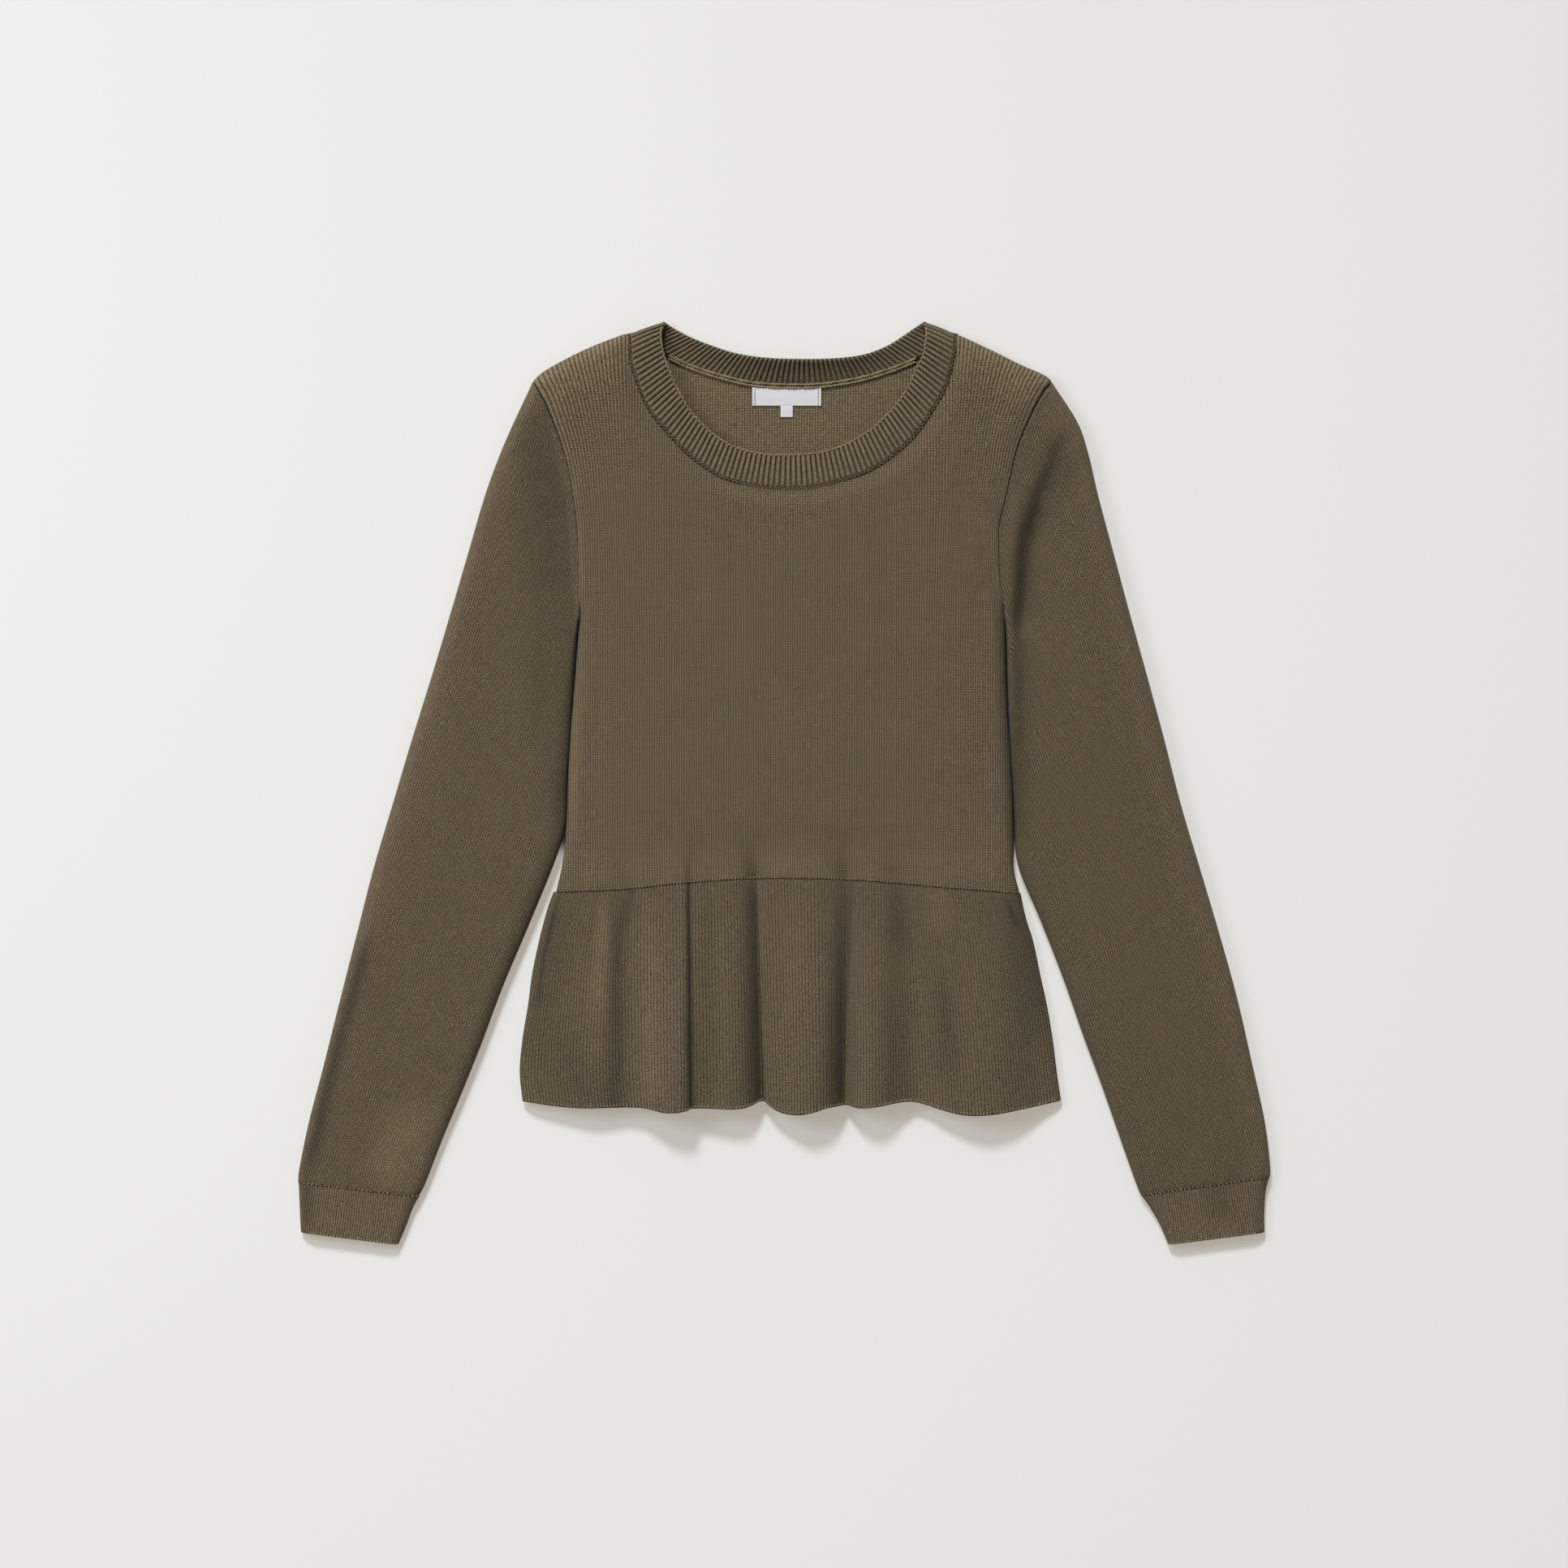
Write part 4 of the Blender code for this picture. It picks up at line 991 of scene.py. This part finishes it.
def build_neckband():
    """Ribbed neckband: one ring, folded flat at the shoulders."""
    table = np.array(NECKBAND, float)
    seam, free = band_edge(table[:, :3]), band_edge(table[:, 3:])
    seam, free = seam + (free - seam) * SEAM_TRIM, free - (free - seam) * FREE_TRIM
    run = sum(np.roll(line, -1, axis=0) - np.roll(line, 1, axis=0) for line in (free, seam))
    facing = np.cross(run, free - seam)
    facing = facing / np.linalg.norm(facing, axis=1, keepdims=True)
    part = (np.arange(len(seam)) % RIB_STEPS) / RIB_STEPS
    groove = np.exp(-((np.minimum(part, 1 - part) / RIB_GROOVE) ** 2))[:, None]
    front = ease((seam[:, 2] - 4.0) / 6.0)[:, None]
    depth, half = settings().rib_height / MM, BAND_WALL / 2
    turns = np.arange(len(seam) + 1) / RIB_STEPS
    outer, inner, uv = [], [], []
    for share in np.linspace(0, 1, 11):
        middle = seam + (free - seam) * share + facing * BAND_CROWN * np.sin(np.pi * share)
        rib = depth * min(1.0, 0.5 + 6 * min(share, 1 - share))
        outer.append(middle + facing * (half + 0.3 - groove * rib * front))
        inner.append(middle - facing * (half + 0.3 - groove * rib * (1 - front)))
        uv.append(levelled(turns, share * BAND_DEPTH))
    cut = [["rib_knit", "rib_knit"], BAND_CUT, ["front", "back"]]
    sew("neckband_rib", ["neckband"], (np.array(outer), np.array(inner)), True, uv, *cut)
    SEAMS["band_seam"] = seam + facing * half
    SEAMS["band_free"] = free + facing * half


def build_peplum_front():
    """Gathered front of the peplum, with its lapped pleat and deep flutes."""
    table = np.array(PEPLUM_FOLDS, float)
    reach = np.r_[0, np.cumsum(np.hypot(np.diff(table[:, 2]), np.diff(table[:, 4])))]
    waist_x, waist_z, hem_x, hem_y, hem_z, u = curve(np.column_stack([table, reach]), 300).T
    left, right, waist = curve(PEPLUM_LEFT, 60), curve(PEPLUM_RIGHT, 60), curve(WAIST, 60)
    part = (waist_x - waist_x[0]) / (waist_x[-1] - waist_x[0])
    seam_y = np.interp(waist_x, waist[:, 0], waist[:, 1]) - WAIST_GAP
    level = np.minimum(waist_z, WAIST_TOP)
    grid, uv = [], []
    for share in np.linspace(1, 0, 90):
        west, east = along(left, [share])[0], along(right, [share])[0]
        x = waist_x + (hem_x - waist_x) * share
        x = x + (west[0] - x[0]) * np.maximum(0, 1 - part / PEPLUM_BULGE)
        x = x + (east[0] - x[-1]) * np.maximum(0, 1 - (1 - part) / PEPLUM_BULGE)
        y = seam_y + (hem_y - seam_y) * share
        grid.append(np.column_stack([x, y, level + (hem_z - level) * ease(share * 1.15)]))
        uv.append(np.column_stack([u, y]))
    outer = np.array(grid)
    facing = normals(outer)
    facing[:, 0], facing[:, -1] = (-1, 0, 0), (1, 0, 0)
    shade = shaded(outer[..., :2], PEPLUM_SHADES, 1.9)
    uv = np.dstack([uv, np.zeros_like(shade), shade])
    cut = ["peplum_knit", PEPLUM_FRONT_CUT, ["peplum_back"]]
    sew_panel("peplum_front_knit", "peplum_front", outer, facing, uv, *cut)
    SEAMS["peplum_top"] = outer[-1]
    SEAMS["hem"] = outer[0]


def build_peplum_back():
    """Back of the peplum, lying flat with its sides curled up to the side seams."""
    left, right, waist = curve(PEPLUM_LEFT, 60), curve(PEPLUM_RIGHT, 60), curve(WAIST, 60)
    across = edge_shares(right[0, 0] - left[0, 0], BACK_ROLL + 1, 6, 50)
    hem = levelled(np.linspace(-190, 201, 40), -229.5)
    top = along(waist, across) - (0, WAIST_GAP)
    top[0], top[-1] = left[0], right[0]
    plan = patch(left[::-1], right[::-1], hem, top, across, np.linspace(0, 1, 30))
    side = np.minimum(distance(plan, left), distance(plan, right))
    lift = (SEAM_LEVEL - SEAM_GAP) * (1 - roll(side, BACK_ROLL))
    outer = np.dstack([plan, lift])
    facing = -normals(outer)
    facing[lift < 0.02] = (0, 0, -1)
    facing[:, 0], facing[:, -1] = (-1, 0, 0), (1, 0, 0)
    cut = ["peplum_knit", PEPLUM_BACK_CUT, ["floor"]]
    sew_panel("peplum_back_knit", "peplum_back", outer, facing, upright_uv(outer), *cut)


def build_tag(name, node, centre_y, size, thick, across, upward):
    """A woven label lying on the inside of the back, softly cushioned at its edges."""
    x = np.linspace(-size[0] / 2, size[0] / 2, across)
    y = np.linspace(-size[1] / 2, size[1] / 2, upward)
    plan = np.stack(np.meshgrid(x + LABEL_X, y + centre_y), axis=-1)
    wave = 0.06 * np.sin(plan[..., 0] * 0.22) + 0.04 * np.sin(plan[..., 1] * 0.7)
    edge = np.minimum(size[0] / 2 - np.abs(x)[None, :], 3.0)
    fold = 0.35 * (1 - ease((edge - 1.6) / 0.5)) - 0.3 * np.exp(-(((edge - 2.0) / 0.3) ** 2))
    fold = fold * (size[0] > 20)
    top = np.dstack([plan, LABEL_LEVEL + thick + wave + fold])
    bottom = top - (0, 0, thick * 0.6)
    piece = shell(name, top, bottom, False, plan, [finish("label_satin")])
    dress(piece, [node])


def grain_shape(rings=5, sides=6):
    """Points and faces of one slim rounded grain, from its lower to its upper tip."""
    tilts = np.linspace(0, np.pi, rings + 2)[1:-1]
    turns = np.linspace(0, 2 * np.pi, sides, endpoint=False)
    body = [
        (np.sin(a) * np.cos(b), np.sin(a) * np.sin(b), -np.cos(a)) for a in tilts for b in turns
    ]
    last, tip = 1 + (rings - 1) * sides, 1 + rings * sides
    faces = []
    for k in range(sides):
        beyond = (k + 1) % sides
        faces += [(0, 1 + beyond, 1 + k), (last + k, last + beyond, tip)]
        for start in range(1, last, sides):
            a, b = start + k, start + beyond
            faces.append((a, b, b + sides, a + sides))
    return np.array([(0, 0, -1), *body, (0, 0, 1)]), faces


def stitches(name, points, runs, size, yarn):
    """Many small loops of yarn along a seam, each a slim rounded grain."""
    body, grain = grain_shape()
    long, wide, high = size
    cloud, faces = [], []
    for count, (place, run) in enumerate(zip(points, runs)):
        run = run / np.linalg.norm(run)
        side = np.cross((0, 0, 1), run)
        side = side / np.linalg.norm(side)
        uneven = 1 + 0.14 * np.sin(7.3 * count) + 0.10 * np.sin(2.9 * count)
        shape = body * np.array([wide, high, long]) / 2 * uneven
        cloud.append(place + shape @ np.array([side, np.cross(run, side), run]))
        faces += [tuple(i + count * len(body) for i in face) for face in grain]
    cloud = np.vstack(cloud)
    corners = [i for face in faces for i in face]
    uv = np.hstack([cloud[corners, :2], np.zeros((len(corners), 2))])
    piece = new_piece(name, cloud, faces, uv, np.zeros(len(faces), int), [finish(yarn)])
    return dress(piece, [])


def seam_line(line, pitch):
    """Points a pitch apart along a line, with the way it runs at each."""
    length = np.linalg.norm(np.diff(line, axis=0), axis=1).sum()
    count = int(length / pitch)
    points = along(line, (np.arange(count) + 0.5) / count)
    return points, np.gradient(points, axis=0)


def slanted(runs, degrees):
    """Runs turned in plan by an angle, or each by its own."""
    turn = np.radians(degrees)
    x = runs[:, 0] * np.cos(turn) - runs[:, 1] * np.sin(turn)
    y = runs[:, 0] * np.sin(turn) + runs[:, 1] * np.cos(turn)
    return np.column_stack([x, y, runs[:, 2]])


def sew_loops(name, line, pitch, degrees, size, yarn):
    """Loops of yarn a pitch apart along a line, each turned from it by an angle."""
    points, runs = seam_line(line, pitch)
    stitches(name, points, slanted(runs, degrees), size, yarn)


def shaded_seam_strip(name, line, half, lift):
    """The seam's own allowance, darkened as painted shade where it shows between its loops."""
    side, walk = rightward(line), np.arange(len(line))
    rows, uv = [], []
    for share in (-1, 0, 1):
        rows.append(np.column_stack([line[:, :2] + side * half * share, line[:, 2] + lift]))
        uv.append(levelled(walk, share))
    top = np.array(rows)
    piece = shell(name, top, top - (0, 0, 0.5), False, np.array(uv), [finish("shaded_seam_yarn")] * 2)
    dress(piece, [])


def beside(line, gap):
    """A line moved sideways in plan, to the right of the way it runs."""
    return line + levelled(rightward(line) * gap, 0)


def build_neck_stitches():
    count = FRONT_RIBS * RIB_STEPS
    line = beside(SEAMS["band_seam"][: count + 1], 2.1)
    line[:, 2] = np.clip(line[:, 2], 9.0, NECK_HEIGHT + 0.6)
    # A dark strip under the linking, as painted shade.
    shaded_seam_strip("neck_shaded_allowance", line[::6], 1.25, -0.45)
    points, runs = seam_line(line + (0, 0, 0.25), 1.6)
    zigzag = np.where(np.arange(len(runs)) % 2, -52, 52)
    stitches("neck_linking", points, slanted(runs, zigzag), NECK_LOOP, "seam_yarn")
    free = SEAMS["band_free"]
    halves = [("front", free[: count + 1], FRONT_EDGE_LOOP), ("back", free[count:], BACK_EDGE_LOOP)]
    for name, edge, size in halves:
        rim = beside(edge, -0.8)[::RIB_STEPS][2:-2] + (0, 0, 0.35)
        stitches("neck_edge_" + name, rim, np.gradient(rim, axis=0), size, "edge_yarn_highlight")
    back = curve([row[:2] for row in NECKBAND[BAND_TURN + 2 :]], 200)
    # A dark strip under the back neck seam, as painted shade.
    shaded_seam_strip("back_neck_shaded_allowance", levelled(back, 2.7)[6:-6], 1.6, 0.0)
    chain = []
    for drop, level, degrees in ((0.6, 3.8, 32), (3.0, 3.3, -32)):
        row = levelled(back - (0, drop), level)
        points, runs = seam_line(row[(row[:, 0] > -84) & (row[:, 0] < 96)], 2.0)
        chain.append((points, slanted(runs, degrees)))
    points, runs = (np.vstack(parts) for parts in zip(*chain))
    stitches("back_neck_chain", points, runs, CHAIN_LOOP, "edge_yarn_highlight")


def build_waist_stitches():
    x = np.linspace(-165, 170.5, 500)
    rows = []
    for edge in (SEAMS["waist"], SEAMS["peplum_top"]):
        rows.append([np.interp(x, edge[:, 0], edge[:, axis]) for axis in (1, 2)])
    (top_y, top_z), (low_y, low_z) = rows
    line = np.column_stack([x, (top_y + low_y) / 2, np.maximum(top_z, low_z)])
    # A dark strip under the waist seam, as painted shade.
    shaded_seam_strip("waist_shaded_allowance", line, 0.62, 0.1)
    sew_loops("waist_linking", line + (0, 0.5, 0.2), 2.3, 52, WAIST_LOOP, "edge_yarn_highlight")
    hem = SEAMS["hem"][3:-3] + (0, 0.7, 0.15)
    sew_loops("hem_edge", hem, 2.4, 62, HEM_LOOP, "edge_yarn_highlight")


def build_sleeve_stitches():
    for name, side, turn in (("sleeve_left", LEFT_SIDE, 42), ("sleeve_right", RIGHT_SIDE, -42)):
        # Dark strips as painted shade: in the armhole's turning and under the sleeve's seam.
        shaded_seam_strip(name + "_shaded_turning", levelled(armhole_of(side)[1::2], 4.4), 1.2, 0.0)
        shaded_seam_strip(name + "_shaded_allowance", SEAMS[name + "_start"][1:62], 0.7, -1.0)
        ticks = SEAMS[name + "_ticks"][6:58] + (0, 0, 0.05)
        sew_loops(name + "_linking", ticks, 1.9, turn, ARMHOLE_LOOP, "seam_yarn")
    for name, turn in (("cuff_left", 48), ("cuff_right", -48)):
        top, end = SEAMS[name + "_start"][4:60], SEAMS[name + "_end"][6:58]
        # A dark strip under the cuff's seam, as painted shade.
        shaded_seam_strip(name + "_shaded_allowance", top, 0.55, 0.05)
        sew_loops(name + "_linking", top + (0, 0, 0.2), 3.0, turn, CUFF_LOOP, "edge_yarn_highlight")
        sew_loops(name + "_edge", end + (0, 0, 0.1), 2.4, turn, CUFF_LOOP, "edge_yarn_highlight")


def build_label_stitches():
    places = [(LABEL_X + side * 23.1, 276.6 + k * 2.45, 2.95) for side in (-1, 1) for k in range(5)]
    runs = [(0.06 * side, 1.0, 0.0) for side in (-1, 1) for k in range(5)]
    piece = stitches("label_stitches", np.array(places), np.array(runs), LABEL_LOOP, "label_thread")


def add_lamp(kind, name, place, away, power):
    """A lamp whose rays come from the given direction."""
    bpy.ops.object.light_add(type=kind, location=place)
    lamp = bpy.context.object
    lamp.name = name
    lamp.data.energy = power
    away = np.array(away) / np.linalg.norm(away)
    spin = np.arctan2(away[1], away[0]) + np.pi / 2
    lamp.rotation_euler = (float(np.arccos(away[2])), 0.0, float(spin))
    return lamp.data


class SWEATER_OT_bodice(bpy.types.Operator):
    """Build the front and the back of the bodice"""

    bl_idname = "sweater.bodice"
    bl_label = "Bodice"

    def execute(self, context):
        build_front()
        build_back()
        return {"FINISHED"}


class SWEATER_OT_sleeves(bpy.types.Operator):
    """Build both sleeves and their cuffs"""

    bl_idname = "sweater.sleeves"
    bl_label = "Sleeves and cuffs"

    def execute(self, context):
        sleeves = [
            ("left", LEFT_SLEEVE, LEFT_SIDE, -18, LEFT_SLEEVE_CREASES, LEFT_SLEEVE_SHADES),
            ("right", RIGHT_SLEEVE, RIGHT_SIDE, 18, RIGHT_SLEEVE_CREASES, RIGHT_SLEEVE_SHADES),
        ]
        for hand, stations, side, lean, creases, shades in sleeves:
            name, cloth = "sleeve_" + hand, [creases, shades, SLEEVE_CUT]
            nodes = [name + "_upper", name + "_lower"]
            build_tube(name, nodes, stations, 190, armhole_of(side), lean, *cloth)
        for name, stations, lean in (("cuff_left", LEFT_CUFF, -8), ("cuff_right", RIGHT_CUFF, 8)):
            build_tube(name, [name], stations, 22, None, lean, [], CUFF_SHADES, CUFF_CUT)
        return {"FINISHED"}


class SWEATER_OT_neckband(bpy.types.Operator):
    """Build the ribbed neckband"""

    bl_idname = "sweater.neckband"
    bl_label = "Neckband"

    def execute(self, context):
        build_neckband()
        return {"FINISHED"}


class SWEATER_OT_peplum(bpy.types.Operator):
    """Build the front and the back of the peplum"""

    bl_idname = "sweater.peplum"
    bl_label = "Peplum"

    def execute(self, context):
        build_peplum_front()
        build_peplum_back()
        return {"FINISHED"}


class SWEATER_OT_labels(bpy.types.Operator):
    """Build the bare neck label and the bare size tab"""

    bl_idname = "sweater.labels"
    bl_label = "Neck label"

    def execute(self, context):
        build_tag("neck_label_satin", "label", LABEL_Y, LABEL_SIZE, 0.8, 160, 14)
        build_tag("size_tab_satin", "size_tab", TAB_Y, TAB_SIZE, 0.7, 14, 12)
        build_label_stitches()
        return {"FINISHED"}


class SWEATER_OT_stitching(bpy.types.Operator):
    """Sew the linked seams of the neck, waist, armholes and cuffs"""

    bl_idname = "sweater.stitching"
    bl_label = "Stitching"

    def execute(self, context):
        build_neck_stitches()
        build_waist_stitches()
        build_sleeve_stitches()
        return {"FINISHED"}


class SWEATER_OT_stage(bpy.types.Operator):
    """Set the pale surface, the soft light and the camera straight above"""

    bl_idname = "sweater.stage"
    bl_label = "Studio"

    def execute(self, context):
        own, scene = settings(), context.scene
        for item in context.selected_objects:
            item.select_set(False)
        bpy.ops.mesh.primitive_plane_add(size=FLOOR_SIZE, location=(0, 0, FLOOR_LEVEL))
        floor = bpy.context.object
        floor.name = "floor"
        floor.data.materials.append(paper("pale_surface", tuple(own.floor), tuple(own.glow)))
        sun = add_lamp("SUN", "key_light", (-0.4, 2.0, 2.0), (-0.24, 1.0, 0.92), own.key_light)
        sun.angle = np.radians(11.0)
        sun.color = (1.0, 0.992, 0.98)
        place = (-1.3, 0.52, 1.6)
        add_lamp("AREA", "side_light", place, place, own.side_light).size = 0.8
        scene.world = bpy.data.worlds.new("studio_air")
        scene.world.use_nodes = True
        air = scene.world.node_tree.nodes["Background"]
        air.inputs[0].default_value = (1.0, 0.995, 0.985, 1.0)
        air.inputs[1].default_value = own.fill_light
        camera = bpy.data.cameras.new("overhead_camera")
        camera.sensor_width = SENSOR_WIDTH
        camera.lens = SENSOR_WIDTH * CAMERA_HEIGHT / (PHOTO_PIXELS * PIXEL * MM)
        holder = bpy.data.objects.new("overhead_camera", camera)
        holder.location = (0, 0, CAMERA_HEIGHT)
        scene.collection.objects.link(holder)
        scene.camera = holder
        scene.view_settings.view_transform = "Standard"
        scene.view_settings.look = "None"
        return {"FINISHED"}


class SWEATER_PT_panel(bpy.types.Panel):
    """Steps that build the sweater"""

    bl_idname = "SWEATER_PT_panel"
    bl_label = "Sweater"
    bl_space_type = "VIEW_3D"
    bl_region_type = "UI"
    bl_category = "Sweater"

    def draw(self, context):
        for name in SweaterSettings.__annotations__:
            self.layout.prop(context.scene.sweater, name)
        for step in STEPS:
            self.layout.operator(step.bl_idname)


STEPS = [
    SWEATER_OT_stage,
    SWEATER_OT_bodice,
    SWEATER_OT_sleeves,
    SWEATER_OT_neckband,
    SWEATER_OT_peplum,
    SWEATER_OT_labels,
    SWEATER_OT_stitching,
]
CLASSES = [SweaterSettings, *STEPS, SWEATER_PT_panel]


def register():
    for kind in CLASSES:
        bpy.utils.register_class(kind)
    bpy.types.Scene.sweater = PointerProperty(type=SweaterSettings)


def unregister():
    del bpy.types.Scene.sweater
    for kind in reversed(CLASSES):
        bpy.utils.unregister_class(kind)


def main():
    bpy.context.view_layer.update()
    register()
    bpy.ops.sweater.stage()
    bpy.ops.sweater.bodice()
    bpy.ops.sweater.sleeves()
    bpy.ops.sweater.neckband()
    bpy.ops.sweater.peplum()
    bpy.ops.sweater.labels()
    bpy.ops.sweater.stitching()


if __name__ == "__main__":
    main()
